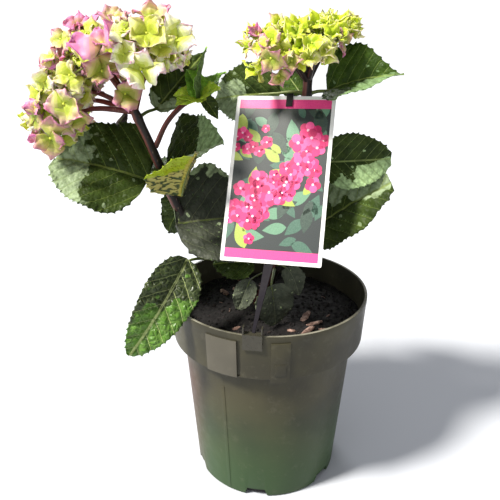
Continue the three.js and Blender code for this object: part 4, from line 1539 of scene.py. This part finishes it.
R = Ramp
HEADS = (
    FlowerHead(
        "left_flower_head", "blush_sepals", "left",
        ((-196, -10, 374), (-179, -12, 402), (-154, -12, 427), (-124, -18, 433),
         (-95, -10, 432), (-160, 32, 425), (-116, 32, 431), (-196, 24, 384)),
        ((-80, -30, 447, 18, -60, 15, R.CREAM), (-101, -45, 451, 18, -90, 40, R.LIME),
         (-104, -10, 462, 17, -70, 70, R.BLUSH), (-136, -5, 459, 16, -110, 65, R.BLUSH),
         (-158, -5, 453, 14, -120, 60, R.PINK), (-164, -25, 444, 14, -120, 40, R.BLUSH),
         (-134, -60, 444, 25, -95, 55, R.PINK, 12, (1.15, 0.45, 0.9, 0.6)),
         (-181, -25, 430, 13, -150, 20, R.PINK),
         (-121, -35, 453, 16, -95, 50, R.CREAM), (-105, -58, 425, 21, -80, 5, R.CREAM),
         (-137, -55, 423, 17.5, -95, 5, R.OLIVE), (-126, -30, 402, 16, -75, -20, R.OLIVE),
         (-167, -45, 418, 16, -110, 30, R.LIME), (-197, -20, 414, 14, -160, 20, R.CREAM),
         (-175, -45, 395, 18, -90, 0, R.BLUSH), (-201, -30, 400, 15, -140, 20, R.LIME),
         (-168, -35, 383, 14, -60, -20, R.OLIVE), (-207, -30, 380, 13, -140, 0, R.OLIVE),
         (-188, -50, 367, 18, -100, -20, R.OLIVE), (-206, -25, 362, 11, -140, -30, R.PINK)),
        11, 21, 13, (15, 19), 0.6, "left_leaf_1", Sepals(), (R.LIME, R.CREAM, R.BLUSH, R.BLUSH, R.PINK),
        StemFinish("reddish flower branch", "5a2a26", "8f4640"),
        ((-179, -22, 445, 13, -110, 25, R.BLUSH), (-166, -14, 455, 14, -100, 40, R.PINK),
         (-152, -32, 450, 13, -95, 30, R.LIME), (-187, -27, 431, 12, -115, 20, R.BLUSH),
         (-151, -43, 438, 12, -95, 20, R.LIME), (-194, -32, 410, 12, -110, 15, R.CREAM),
         (-204, -34, 390, 10, -110, 10, R.PINK), (-129, -18, 458, 14, -90, 45, R.BLUSH),
         (-118, -58, 436, 12, -85, 15, R.CREAM), (-92, -38, 440, 13, -80, 15, R.LIME)),
        (R.LIME, R.CREAM, R.GREEN, R.CREAM, R.BLUSH), 34),
    FlowerHead(
        "right_flower_head", "lime_sepals", "right",
        ((-8, -10, 436), (8, -15, 437), (24, -12, 440), (45, -8, 442),
         (60, 4, 447), (14, 24, 440), (44, 26, 445), (40, -20, 430), (8, -26, 426)),
        ((-12, -15, 449, 9, -130, 40, R.PINK), (-18, -20, 440, 10, -150, 10, R.TIPPED),
         (4, -5, 456, 11, -110, 60, R.TIPPED), (0, -35, 446, 12, -110, 30, R.TIPPED),
         (-1, -45, 433, 13, -100, -5, R.OLIVE), (6, -30, 418, 10, -90, -25, R.OLIVE),
         (18, -30, 449, 13, -90, 50, R.GREEN), (36, -10, 457, 13, -80, 60, R.GREEN),
         (55, -5, 457, 13, -60, 60, R.GREEN), (67, 0, 452, 11, -20, 30, R.LIME),
         (30, -38, 433, 11, -90, 10, R.LIME), (45, -30, 434, 11, -60, 10, R.LIME),
         (16, -42, 431, 9.5, -90, 0, R.OLIVE), (58, -15, 445, 11, -40, 10, R.OLIVE),
         (32, -38, 444, 12, -85, 35, R.GREEN), (48, -25, 449, 12, -70, 40, R.GREEN)),
        23, 15, 10, (10, 13), 0.66, "right_leaf_3",
        Sepals(4, 1.0, (20, 75), (-80, 10), (-0.35, 0.4), 0.4, 0.07),
        (R.GREEN, R.GREEN, R.GREEN, R.LIME, R.TIPPED),
        StemFinish("dark flower branch", "241a16", "4a2a24"),
        ((24, -34, 441, 12, -90, 25, R.GREEN), (10, -38, 437, 12, -95, 15, R.LIME),
         (40, -32, 441, 12, -80, 25, R.LIME), (-8, -36, 440, 11, -110, 15, R.TIPPED),
         (56, -16, 449, 12, -60, 30, R.GREEN), (22, -18, 454, 13, -95, 50, R.GREEN),
         (29, 7, 452, 12, 90, 80, R.GREEN), (20, 4, 450, 11, 140, 70, R.LIME),
         (37, 9, 451, 12, 60, 72, R.GREEN)),
        (R.GREEN, R.GREEN, R.LIME), 20, (15, 88)),
)


# Pot and potting mix


@dataclass(frozen=True)
class Panel:
    """A raised or sunk patch of the pot's wall: its bearings, heights and how far it stands out."""

    bearings: tuple[float, float]
    heights: tuple[float, float]
    proud: float
    dropped: float = 0.0
    # marks a panel with the rougher pad finish, whose lighter grey is a painted sheen
    frosted: bool = False


@dataclass
class Pot:
    """The nursery pot: a tapered body, a stepped rim band, raised panels and notched drain slots."""

    height: float = 205
    band: float = 46
    rim_radius: float = 100
    band_foot_radius: float = 97.5
    body_top_radius: float = 88
    base_radius: float = 75.5
    wall: float = 2.4
    floor: float = 2.6
    step: float = 4
    sides: int = 180
    slots: int = 6
    slot_front: float = -97
    slot_width: float = 22
    slot_height: float = 9
    mark_heights: tuple[float, float] = (164, 176)
    panel_top: float = 198
    rib_foot: float = 4.1
    rib_top: float = 135
    edge: float = 0.65  # millimetres that a moulded edge is rounded over

    NOTCH_DEPTH = 16
    NOTCH_TAPER = (0.82, 1.34)  # of its width, at the top and at the foot
    SHARP = 32  # degrees of an edge that is rounded
    SMOOTH_UP_TO = 28
    FINISHES = (
        # The foot colour is a painted green reflection, and the next one a painted reddish shade on the lower
        # left
        MouldedFinish("olive polypropylene", "36342a", "444130", 0.4, "34502e", "5c2e20", 0.15, 0.2),
        # the pad's lighter grey is a painted sheen on a rougher surface
        MouldedFinish("frosted label pad", "524f46", "5e5a50", 0.55, dust=0.1, gloss=0.2),
        # the rim top's paler colour is a painted highlight along with dust
        MouldedFinish("dusty_painted_highlight rim edge", "4e4b3c", "8d8a7c", 0.25, dust=0.7, gloss=0.6, cloud=35),
    )

    def band_radius(self, z: float) -> float:
        """Gives the band's outer radius at a height."""
        foot = self.height - self.band
        return self.band_foot_radius + (z - foot) * (self.rim_radius - self.band_foot_radius) / self.band

    def profile(self) -> list[tuple[float, float]]:
        """Lists the radius and height of each ring, up the outside and down the inside.

        Returns:
            The rings, in order.
        """
        wall, rim = self.wall, self.rim_radius
        band, body, base = self.band_foot_radius, self.body_top_radius, self.base_radius
        foot = self.height - self.band
        ledge = foot + self.step
        taper = (body - base) / ledge
        outside = [(base - 1.2, 0.0), (base, 1.0), (base + 0.3, 4.0)]
        outside += [(base + taper * z, z) for z in (40.0, 90.0, self.rib_top)]
        outside += [(body, ledge - 1.0), (body + 0.8, ledge), (band - wall, ledge), (band - wall, foot)]
        outside += [(self.band_radius(z), z) for z in (foot, foot + 1.2, *self.mark_heights, self.panel_top)]
        outside += [(rim, self.panel_top + 1.6), (rim, self.height)]
        inside = [(rim - wall, self.height), (band - wall, ledge + wall), (body - wall, ledge + wall),
                  (base - wall, self.floor), (8.0, self.floor)]
        return outside + inside

    def shell(self) -> Piece:
        """Draws the pot's wall ring by ring from a circle, in edit mode.

        Returns:
            The bare pot.
        """
        rings = self.profile()
        deselect()
        bpy.ops.mesh.primitive_circle_add(vertices=self.sides, radius=rings[0][0] * MM, fill_type="NGON")
        with editing("EDGE"):
            bpy.ops.mesh.select_all(action="SELECT")
            bpy.ops.mesh.region_to_loop()
            for (r0, z0), (r1, z1) in zip(rings, rings[1:]):
                bpy.ops.mesh.extrude_region_move(TRANSFORM_OT_translate={"value": (0, 0, (z1 - z0) * MM)})
                bpy.ops.transform.resize(value=(r1 / r0, r1 / r0, 1), center_override=(0, 0, z1 * MM))
            bpy.ops.mesh.edge_face_add()
            bpy.ops.mesh.select_all(action="SELECT")
            bpy.ops.mesh.normals_make_consistent(inside=False)
            bpy.ops.mesh.select_all(action="DESELECT")
        return bpy.context.object

    def raise_panel(self, pot: Piece, panel: Panel) -> None:
        """Extrudes the wall's faces inside a panel outwards, or inwards where it is sunk.

        Args:
            pot: The pot.
            panel: The panel's bearings, heights and height above the wall.
        """
        start, end = panel.bearings
        low, high = panel.heights
        for face in pot.data.polygons:
            centre = face.center / MM
            turn = (degrees(atan2(centre.y, centre.x)) - start) % 360
            radial = Vector((centre.x, centre.y, 0)).normalized()
            face.select = turn < end - start and low < centre.z < high and face.normal.dot(radial) > 0.7
            if face.select:
                face.material_index = int(panel.frosted)
        if not any(face.select for face in pot.data.polygons):
            raise ValueError("a panel has no faces")
        factor = 1 + panel.proud / self.rim_radius
        with editing("FACE"):
            bpy.ops.mesh.extrude_region_move()
            bpy.ops.transform.resize(value=(factor, factor, 1), center_override=(0, 0, 0))
        if panel.dropped:
            foot = min(vertex.co.z for vertex in pot.data.vertices if vertex.select)
            for vertex in pot.data.vertices:
                if vertex.select and vertex.co.z < foot + 0.3 * MM:
                    vertex.co.z -= panel.dropped * MM
        deselect_mesh(pot)

    def scuff_rim(self, pot: Piece) -> None:
        """Gives the rim's flat top its paler finish: a painted highlight, with dust.

        Args:
            pot: The pot.
        """
        for face in pot.data.polygons:
            if face.normal.z > 0.7 and face.center.z > (self.height - 0.2) * MM:
                face.material_index = 2

    def notch(self, bearing: float) -> Piece:
        """Makes a cutter for one drain slot: a wedge that is wider at the foot.

        Args:
            bearing: Where the slot faces, in degrees.

        Returns:
            The cutter.
        """
        deselect()
        size = (self.NOTCH_DEPTH, self.slot_width, 2 * self.slot_height)
        bpy.ops.mesh.primitive_cube_add(size=1, scale=[side * MM for side in size])
        cutter = settle(bpy.context.object)
        for vertex in cutter.data.vertices:
            vertex.co.y *= self.NOTCH_TAPER[vertex.co.z < 0]
        cutter.location = heading(bearing, 0) * self.base_radius * MM
        cutter.rotation_euler = (0, 0, radians(bearing))
        return settle(cutter)

    def build(self) -> None:
        """Builds the pot, raises its panels, cuts its slots, softens its edges and dresses it.

        The slots are cut before the edges are rounded, because the cut of a rounded mesh can fail.
        """
        pot = self.shell()
        for finish in self.FINISHES:
            pot.data.materials.append(finish.material())
        foot = self.height - self.band
        for panel in (
            Panel((-124, -106), (foot + 0.1, self.panel_top), 1.3, frosted=True),
            Panel((-106, -104), (foot + 1.3, self.panel_top), -1.0),
            Panel((-88, -78), (foot + 0.1, self.panel_top), 1.5, 2.8),
            Panel((-86, -80), self.mark_heights, 0.5),
            Panel((-120, -118), (self.rib_foot, self.rib_top), 0.5),
        ):
            self.raise_panel(pot, panel)
        self.scuff_rim(pot)
        uncut = len(pot.data.polygons)
        bearings = [self.slot_front + i * 360 / self.slots for i in range(self.slots)]
        cutters = [self.notch(bearing) for bearing in bearings]
        take(*cutters)
        bpy.ops.object.join()
        cut = pot.modifiers.new("drain slots", "BOOLEAN")
        cut.object = cutters[0]
        cut.operation = "DIFFERENCE"
        cut.solver = "EXACT"
        bevel = pot.modifiers.new("moulded edges", "BEVEL")
        bevel.width = self.edge * MM
        bevel.segments = 3
        bevel.limit_method = "ANGLE"
        bevel.angle_limit = radians(self.SHARP)
        take(pot)
        for modifier in list(pot.modifiers):
            bpy.ops.object.modifier_apply(modifier=modifier.name)
        if len(pot.data.polygons) < uncut:
            raise ValueError("the slots' cut lost the pot's wall")
        bpy.data.objects.remove(cutters[0])
        pot.name = pot.data.name = "nursery_pot"
        bpy.ops.object.shade_smooth_by_angle(angle=radians(self.SMOOTH_UP_TO))
        dress(pot, "pot", "pot")


@dataclass
class PottingMix:
    """Peaty compost with crumbs and bark chips on a slightly domed top."""

    level: float = 182
    edge_drop: float = 5
    flat_radius: float = 34
    top_radius: float = 95.5
    rings: int = 60
    sides: int = 150
    seed: int = 5
    crumbs: int = 1500
    stray_chips: int = 9
    walls: tuple[Point, ...] = ((95.2, 166.0), (85.3, 165.7), (72.8, 2.9), (10.0, 2.9))
    lumps: tuple[Point, ...] = ((1.0, 1.5), (3.1, 1.0), (7.3, 0.5))  # how fine and how high
    lump_scale: float = 0.09
    crumb_reach: float = 0.985  # of the top's radius
    crumb_sizes: tuple[float, ...] = (0.8, 1.1, 1.5, 2.3)
    stray_radii: tuple[float, float] = (30, 88)
    stray_size: tuple[tuple[float, float], ...] = ((3, 7), (1.2, 2.4))
    stray_thickness: float = 1.2
    chips: tuple[tuple, ...] = (
        ((38, -20), (20, 7, 4), 65), ((46, -32), (17, 6, 4), 20), ((54, -41), (15, 5, 3), -15),
        ((39, -46), (19, 8, 4), 50), ((23, -46), (8, 5, 3), 0), ((-30, -44), (9, 5, 3), 30),
        ((-48, 34), (16, 7, 4), 120), ((30, 55), (14, 6, 3), 160),
    )

    CHIP_PROUD = 0.15  # of its thickness, from the soil to its middle

    def surface(self, x: float, y: float) -> float:
        """Gives the height of the compost at a place on its top.

        Args:
            x: The place to the right.
            y: The place to the back.

        Returns:
            The height in millimetres.
        """
        radius = hypot(x, y)
        fall = max(0.0, (radius - self.flat_radius) / (self.top_radius - self.flat_radius))
        spot = Vector((x * self.lump_scale, y * self.lump_scale, 4.0))
        return (self.level - self.edge_drop * fall
                + sum(high * noise.noise(spot * fine) for fine, high in self.lumps))

    def build(self) -> None:
        """Builds the compost body with its crumbs, and the bark chips, and dresses them."""
        weave = Weave()
        rings, sides, around = self.rings, self.sides, circle(self.sides)
        points = [(0.0, 0.0, self.surface(0, 0))]
        for ring in range(1, rings + 1):
            radius = self.top_radius * ring / rings
            points += [(radius * x, radius * y, self.surface(radius * x, radius * y)) for x, y in around]
        for radius, z in self.walls:
            points += [(radius * x, radius * y, z) for x, y in around]
        rows = rings + len(self.walls) - 1
        last = 1 + rows * sides
        faces = [(0, 1 + k, 1 + (k + 1) % sides) for k in range(sides)]
        faces += ring_faces(rows, sides, 1, flipped=True)
        faces.append(tuple(last + k for k in reversed(range(sides))))
        weave.add(np.array(points), faces, 0)
        rng = Random(self.seed)
        for _ in range(self.crumbs):
            radius = self.top_radius * sqrt(rng.random()) * self.crumb_reach
            turn = rng.uniform(0, 2 * pi)
            size = rng.choice(self.crumb_sizes)
            x, y = radius * cos(turn), radius * sin(turn)
            self.crumb(weave, (x, y, self.surface(x, y)), size, rng, rng.choice((0, 0, 0, 1)))
        earth = (("damp compost", "0b0909", "1d1819"), ("dry peat crumb", "17110f", "2e2521"))
        materials = [EarthFinish(*kind).material() for kind in earth]
        dress(weave.build("compost", materials), "potting_mix", "potting_mix")
        bark = Weave()
        for at, size, turn in self.chips:
            self.chip(bark, at, size, turn, rng)
        for _ in range(self.stray_chips):
            radius, turn = rng.uniform(*self.stray_radii), rng.uniform(0, 360)
            at = heading(turn, 0)[:2] * radius
            size = (*(rng.uniform(*span) for span in self.stray_size), self.stray_thickness)
            self.chip(bark, at, size, rng.uniform(0, 180), rng)
        dress(bark.build("bark_chips", [EarthFinish("pine bark chip", "6a5148", "cfae9f", 6.0).material()]),
              "potting_mix")

    def crumb(self, weave: Weave, at: Point, size: float, rng: Random, slot: int) -> None:
        """Adds one uneven crumb of eight faces.

        Args:
            weave: Where it goes.
            at: Its centre.
            size: Its radius.
            rng: The random numbers.
            slot: Its material slot.
        """
        ends = ((1, 0, 0), (0, 1, 0), (-1, 0, 0), (0, -1, 0), (0, 0, 1), (0, 0, -1))
        points = [np.array(at) + np.array(end, float) * size * rng.uniform(0.6, 1.2) for end in ends]
        faces = [(0, 1, 4), (1, 2, 4), (2, 3, 4), (3, 0, 4), (1, 0, 5), (2, 1, 5), (3, 2, 5), (0, 3, 5)]
        weave.add(np.array(points), faces, slot)

    def chip(self, weave: Weave, at: Point, size: Point, turn: float, rng: Random) -> None:
        """Adds one split chip of bark: a worn, uneven slab sunk in the compost.

        Args:
            weave: Where it goes.
            at: Its place to the right and to the back.
            size: Its length, width and thickness.
            turn: Its bearing.
            rng: The random numbers.
        """
        base = np.array([*at, self.surface(*at) + size[2] * self.CHIP_PROUD])
        ahead, tilt = heading(turn, rng.uniform(-8, 8)), rng.uniform(-12, 12)
        side = turned(np.cross(UP, ahead), ahead, tilt)
        up = np.cross(ahead, side)
        cuts, sides = 9, 8
        points = []
        for i in range(cuts + 1):
            t = i / cuts
            shrink = sin(pi * (0.08 + 0.84 * t)) ** 0.4
            for x, y in circle(sides):
                wide = shrink * rng.uniform(0.8, 1.1)
                points.append(base + ahead * (t - 0.5) * size[0] + side * x * size[1] / 2 * wide
                              + up * y * size[2] / 2 * wide)
        faces = ring_faces(cuts, sides)
        faces += [tuple(reversed(range(sides))), tuple(range(cuts * sides, (cuts + 1) * sides))]
        weave.add(np.array(points), faces, 0)


# Tag


@dataclass
class Tag:
    """The picture tag: a printed card, its stake with a hook over the top edge, and the rim clip."""

    size: Point = (92, 155, 0.9)
    centre: Point = (7, -30, 328)
    lean: float = 30
    turn: float = -14
    roll: float = 2.3
    border: float = 3.4
    band: float = 8.5
    corner: float = 1.5
    seed: int = 41
    leaves: int = 64
    blossoms: int = 78
    sprays: int = 9
    printed: Weave = field(default_factory=Weave)
    ink_step: float = 0.02  # millimetres from one layer of the print to the next
    ink_sink: float = 0.2  # millimetres that the print reaches into the card

    LEAF_LENGTHS = (13, 27)
    BLOSSOM_RADII = (5.5, 9.5)
    SPRAY_RADII = (4, 6.5)
    SPRAY_HEIGHTS = (22, 52)
    ROW_START = (-34, -46)  # the row of blossoms: its start, its run, its wave and its spread
    ROW_RUN = (66, 84)
    ROW_WAVE = 7
    ROW_SPREAD = 8.5
    STRAY = (-4, 4)

    # Bands, ground, four leaf greens, three blossom pinks and the blossoms' eyes
    INKS = (("e9488c", "df3f82"), ("33383a", "27302e"), ("3e5f50", "4a6c5c"), ("6b9478", "5d866c"),
            ("33443c", "3e5046"), ("a5b650", "93a446"), ("e22a74", "d4226a"), ("ef5b97", "e64c8b"),
            ("c51f60", "b61b58"), ("f6c4d6", "eeb4ca"))
    FIRST_LEAF, LEAF_INKS = 2, 4
    FIRST_PINK, PINK_INKS = 6, 3
    EYE = 9

    def place(self) -> Matrix:
        """Gives the card's own frame, x across and y up, in metres.

        Returns:
            The frame.
        """
        tilt = Matrix.Rotation(radians(90 - self.lean), 4, "X")
        turn = Matrix.Rotation(radians(self.turn), 4, "Z")
        roll = Matrix.Rotation(radians(self.roll), 4, "Z")
        return Matrix.Translation(Vector(self.centre) * MM) @ turn @ tilt @ roll

    def flat(self, outline: Outline, layer: int, slot: int) -> None:
        """Prints one flat shape, each layer a hair above the last.

        Args:
            outline: The shape's corners on the card, counter-clockwise.
            layer: Which layer of the print it lies in.
            slot: Its material slot.
        """
        face = self.size[2] / 2
        place = self.place()
        count = len(outline)
        points = [place @ (Vector((x, y, z)) * MM) / MM
                  for z in (face + self.ink_step * layer, face - self.ink_sink) for x, y in outline]
        faces = [tuple(range(count)), tuple(reversed(range(count, 2 * count)))]
        faces += [(k, k + count, (k + 1) % count + count, (k + 1) % count) for k in range(count)]
        self.printed.add(np.array([list(p) for p in points]), faces, slot)

    def clipped(self, points: Outline) -> list[tuple[float, float]]:
        """Cuts a printed shape off at the picture's edges.

        Args:
            points: The shape's corners.

        Returns:
            The corners of what is left.
        """
        wide, high = self.size[0] / 2 - self.border, self.size[1] / 2 - self.border - self.band
        polygon = list(points)
        for axis, sign, limit in ((0, 1, wide), (0, -1, wide), (1, 1, high), (1, -1, high)):
            kept: list[tuple[float, float]] = []
            for a, b in zip(polygon, polygon[1:] + polygon[:1]):
                inside_a, inside_b = a[axis] * sign <= limit, b[axis] * sign <= limit
                if inside_a:
                    kept.append(a)
                if inside_a != inside_b:
                    t = (limit * sign - a[axis]) / (b[axis] - a[axis])
                    kept.append((a[0] + (b[0] - a[0]) * t, a[1] + (b[1] - a[1]) * t))
            polygon = kept
            if not polygon:
                return []
        return polygon

    def ink(self, outline: Outline, layer: int, slot: int) -> None:
        """Prints a shape as far as the picture's edges.

        Args:
            outline: The shape's corners.
            layer: Its layer.
            slot: Its material slot.
        """
        kept = self.clipped(outline)
        if len(kept) > 2:
            self.flat(kept, layer, slot)

    def picture(self) -> Piece:
        """Prints a plain garden pattern: pale leaves on green, and rows of simple pink blossoms.

        Returns:
            The print.
        """
        wide, high = self.size[0] / 2 - self.border, self.size[1] / 2 - self.border
        inner = high - self.band
        for slot, top in enumerate((high, inner)):
            self.flat([(-wide, -top), (wide, -top), (wide, top), (-wide, top)], slot + 1, slot)
        rng = Random(self.seed)
        for i in range(self.leaves):
            x, y = rng.uniform(-wide, wide), rng.uniform(-inner, inner)
            length, turn, kind = rng.uniform(*self.LEAF_LENGTHS), rng.uniform(0, 360), i % self.LEAF_INKS
            self.leaf_shape(x, y, length, turn, 3 + kind, self.FIRST_LEAF + kind)
        for i in range(self.blossoms):
            share = i / (self.blossoms - 1)
            x, y = (start + run * share for start, run in zip(self.ROW_START, self.ROW_RUN))
            y += self.ROW_WAVE * sin(7 * share)
            across = rng.gauss(0, self.ROW_SPREAD)
            x += rng.uniform(*self.STRAY) - across * 0.75
            y += rng.uniform(*self.STRAY) + across * 0.66
            self.blossom(x, y, rng.uniform(*self.BLOSSOM_RADII), rng.uniform(0, 72), 8 + 3 * (i % 4))
        for _ in range(self.sprays):
            x, y = rng.uniform(-wide, -10), rng.uniform(*self.SPRAY_HEIGHTS)
            self.blossom(x, y, rng.uniform(*self.SPRAY_RADII), rng.uniform(0, 72), 8)
        materials = [PrintFinish(f"printed ink {i + 1}", *ink).material() for i, ink in enumerate(self.INKS)]
        return self.printed.build("tag_picture", materials, smooth=False)

    def leaf_shape(self, x: float, y: float, length: float, turn: float, layer: int, slot: int) -> None:
        """Prints one simple leaf.

        Args:
            x: The leaf's middle, across.
            y: The leaf's middle, up the card.
            length: Its length.
            turn: Its bearing.
            layer: Its layer.
            slot: Its material slot.
        """
        east, north, _ = heading(turn, 0)
        points = []
        for i in range(20):
            t, side = (i / 10, 1) if i <= 10 else ((20 - i) / 10, -1)
            w = 0.24 * length * sin(pi * t ** 0.8) * side
            u = (t - 0.5) * length
            points.append((x + u * east + w * north, y + u * north - w * east))
        self.ink(points, layer, slot)

    def blossom(self, x: float, y: float, size: float, turn: float, layer: int) -> None:
        """Prints one simple five-petalled blossom with a pale eye.

        Args:
            x: Its middle, across.
            y: Its middle, up the card.
            size: Its radius.
            turn: The bearing of its first petal.
            layer: Its lowest layer.
        """
        for petal in range(5):
            east, north, _ = heading(turn + petal * 72, 0) * 0.5 * size
            points = [(x + east + 0.46 * size * a, y + north + 0.46 * size * b) for a, b in circle(14)]
            self.ink(points, layer + petal % 2, self.FIRST_PINK + (petal + int(turn)) % self.PINK_INKS)
        eye = [(x + 0.16 * size * a, y + 0.16 * size * b) for a, b in circle(10)]
        self.ink(eye, layer + 2, self.EYE)

    def card(self) -> Piece:
        """Cuts the white card: a flat plate with rounded corners.

        Returns:
            The card.
        """
        deselect()
        bpy.ops.mesh.primitive_cube_add(size=1, location=(0, 0, 0))
        card = bpy.context.object
        card.scale = tuple(side * MM for side in self.size)
        settle(card)
        deselect_mesh(card)
        for edge in card.data.edges:
            a, b = (card.data.vertices[i].co for i in edge.vertices)
            edge.select = abs(a.z - b.z) > 0.5 * self.size[2] * MM
        with editing("EDGE"):
            bpy.ops.mesh.bevel(offset=self.corner * MM, segments=5)
        card.matrix_world = self.place()
        settle(card)
        card.name = "tag_card_board"
        card.data.materials.append(PrintFinish("coated white card", "e6e6e4", "dededc").material())
        return card

    def build(self) -> None:
        """Builds the card and its print, and finishes the stake and the clip."""
        dress(self.card(), "tag_card", "tag_card")
        dress(self.picture(), "tag_card")
        plastics = {
            "tag_stake": MouldedFinish("purple black polystyrene", "0e0b10", "18131b", 0.35, dust=0.04,
                                       gloss=0.2),
            "rim_clip": SmokyFinish("smoky polystyrene", "35332a"),
        }
        for node, finish in plastics.items():
            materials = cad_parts[node].data.materials
            materials.clear()
            materials.append(finish.material())


# Studio


@dataclass
class Studio:
    """The floor, the lights and the camera."""

    camera_place: Point = (0, -554, 476)
    pitch: float = 22.58
    yaw: float = -1.96
    roll: float = 0.22
    lens: float = 43.2
    sensor: float = 36.0
    floor: float = 4000.0  # metres, so that its far edge is out of sight
    behind: float = 6.0  # metres from the plant to where the floor turns up
    floor_drop: float = 0.0005
    sky: float = 0.4
    aim: Point = (-0.05, 0, 0.27)

    # Name, kind, place in metres, power, colour, and a sun's angle or a panel's side
    LAMPS = (("key", "SUN", (-1.5, -0.8, 2.3), 6.8, "fffaf0", 10),
             ("fill", "AREA", (-1.2, -2.2, 1.0), 7, "f2f6ff", 1.6),
             ("back", "AREA", (-0.7, 2.3, 1.7), 20, "ffffff", 1.0))

    def camera(self) -> None:
        """Sets the camera where the photograph was taken from."""
        data = bpy.data.cameras.new("camera")
        data.lens = self.lens
        data.sensor_width = self.sensor
        data.sensor_fit = "HORIZONTAL"
        data.clip_start = 0.02
        data.clip_end = 3000
        camera = bpy.data.objects.new("camera", data)
        bpy.context.scene.collection.objects.link(camera)
        pitch, yaw = radians(self.pitch), radians(self.yaw)
        ahead = Vector((sin(yaw) * cos(pitch), cos(yaw) * cos(pitch), -sin(pitch)))
        right = Vector((cos(yaw), -sin(yaw), 0))
        above = right.cross(ahead)
        roll = radians(self.roll)
        side = right * cos(roll) + above * sin(roll)
        top = -right * sin(roll) + above * cos(roll)
        basis = Matrix((side, top, -ahead)).transposed().to_4x4()
        camera.matrix_world = Matrix.Translation(Vector(self.camera_place) * MM) @ basis
        bpy.context.scene.camera = camera

    def lamp(self, name: str, kind: str, place: Point, power: float, colour: str, spread: float) -> None:
        """Adds one soft lamp that aims at the middle of the plant.

        Args:
            name: The lamp's name.
            kind: SUN or AREA.
            place: Where it stands, in metres.
            power: Its strength, in watts for an area lamp.
            colour: Its colour.
            spread: Its angle in degrees for a sun, or its side in metres.
        """
        data = bpy.data.lights.new(name, kind)
        data.energy = power
        data.color = linear(colour)[:3]
        if kind == "SUN":
            data.angle = radians(spread)
        else:
            data.size = spread
        lamp = bpy.data.objects.new(name, data)
        bpy.context.scene.collection.objects.link(lamp)
        lamp.location = place
        lamp.rotation_euler = (Vector(self.aim) - Vector(place)).to_track_quat("-Z", "Y").to_euler()

    def build(self) -> None:
        """Lays the floor, hangs the lights and sets the camera."""
        deselect()
        middle = self.behind - self.floor / 2
        bpy.ops.mesh.primitive_plane_add(size=self.floor, location=(0, middle, -self.floor_drop))
        floor = settle(bpy.context.object)
        deselect_mesh(floor)
        for edge in floor.data.edges:
            edge.select = all(floor.data.vertices[i].co.y > 0 for i in edge.vertices)
        with editing("EDGE"):
            bpy.ops.mesh.extrude_region_move(TRANSFORM_OT_translate={"value": (0, self.floor, 60)})
        floor.name = "studio_floor"
        pale = surface("pale floor", {"Base Color": "c3c7d0", "Roughness": 0.9})[0]
        floor.data.materials.append(pale)
        world = bpy.data.worlds.new("studio")
        bpy.context.scene.world = world
        world.use_nodes = True
        sky = next(node for node in world.node_tree.nodes if node.type == "BACKGROUND")
        sky.inputs[0].default_value = (1.0, 1.0, 1.0, 1.0)
        sky.inputs[1].default_value = self.sky
        for lamp in self.LAMPS:
            self.lamp(*lamp)
        bpy.context.scene.view_settings.view_transform = "Standard"
        self.camera()


def main() -> None:
    """Builds the plant, its pot and tag, and the studio, and reports each piece."""
    logging.basicConfig(level=logging.INFO, format="%(message)s")
    bark = StemFinish("black stem bark", "17110f", "6e4038").material()
    young = StemFinish("reddish stem bark", "4a2723", "874b42").material()
    for number, (name, limb) in enumerate(STEMS.items()):
        material = young if name == "side" else bark
        dress(limb.grow(f"{name}_stem_bark", material, 3 + number * 5), "stem", f"{name}_stem")
    dress(MAIN_STEM.grow("main_stem_bark", bark, 21), "stem", "main_stem")
    Foliage().build()
    for head in HEADS:
        head.build()
    Pot().build()
    PottingMix().build()
    Tag().build()
    Studio().build()
    deselect()


if __name__ == "__main__":
    main()
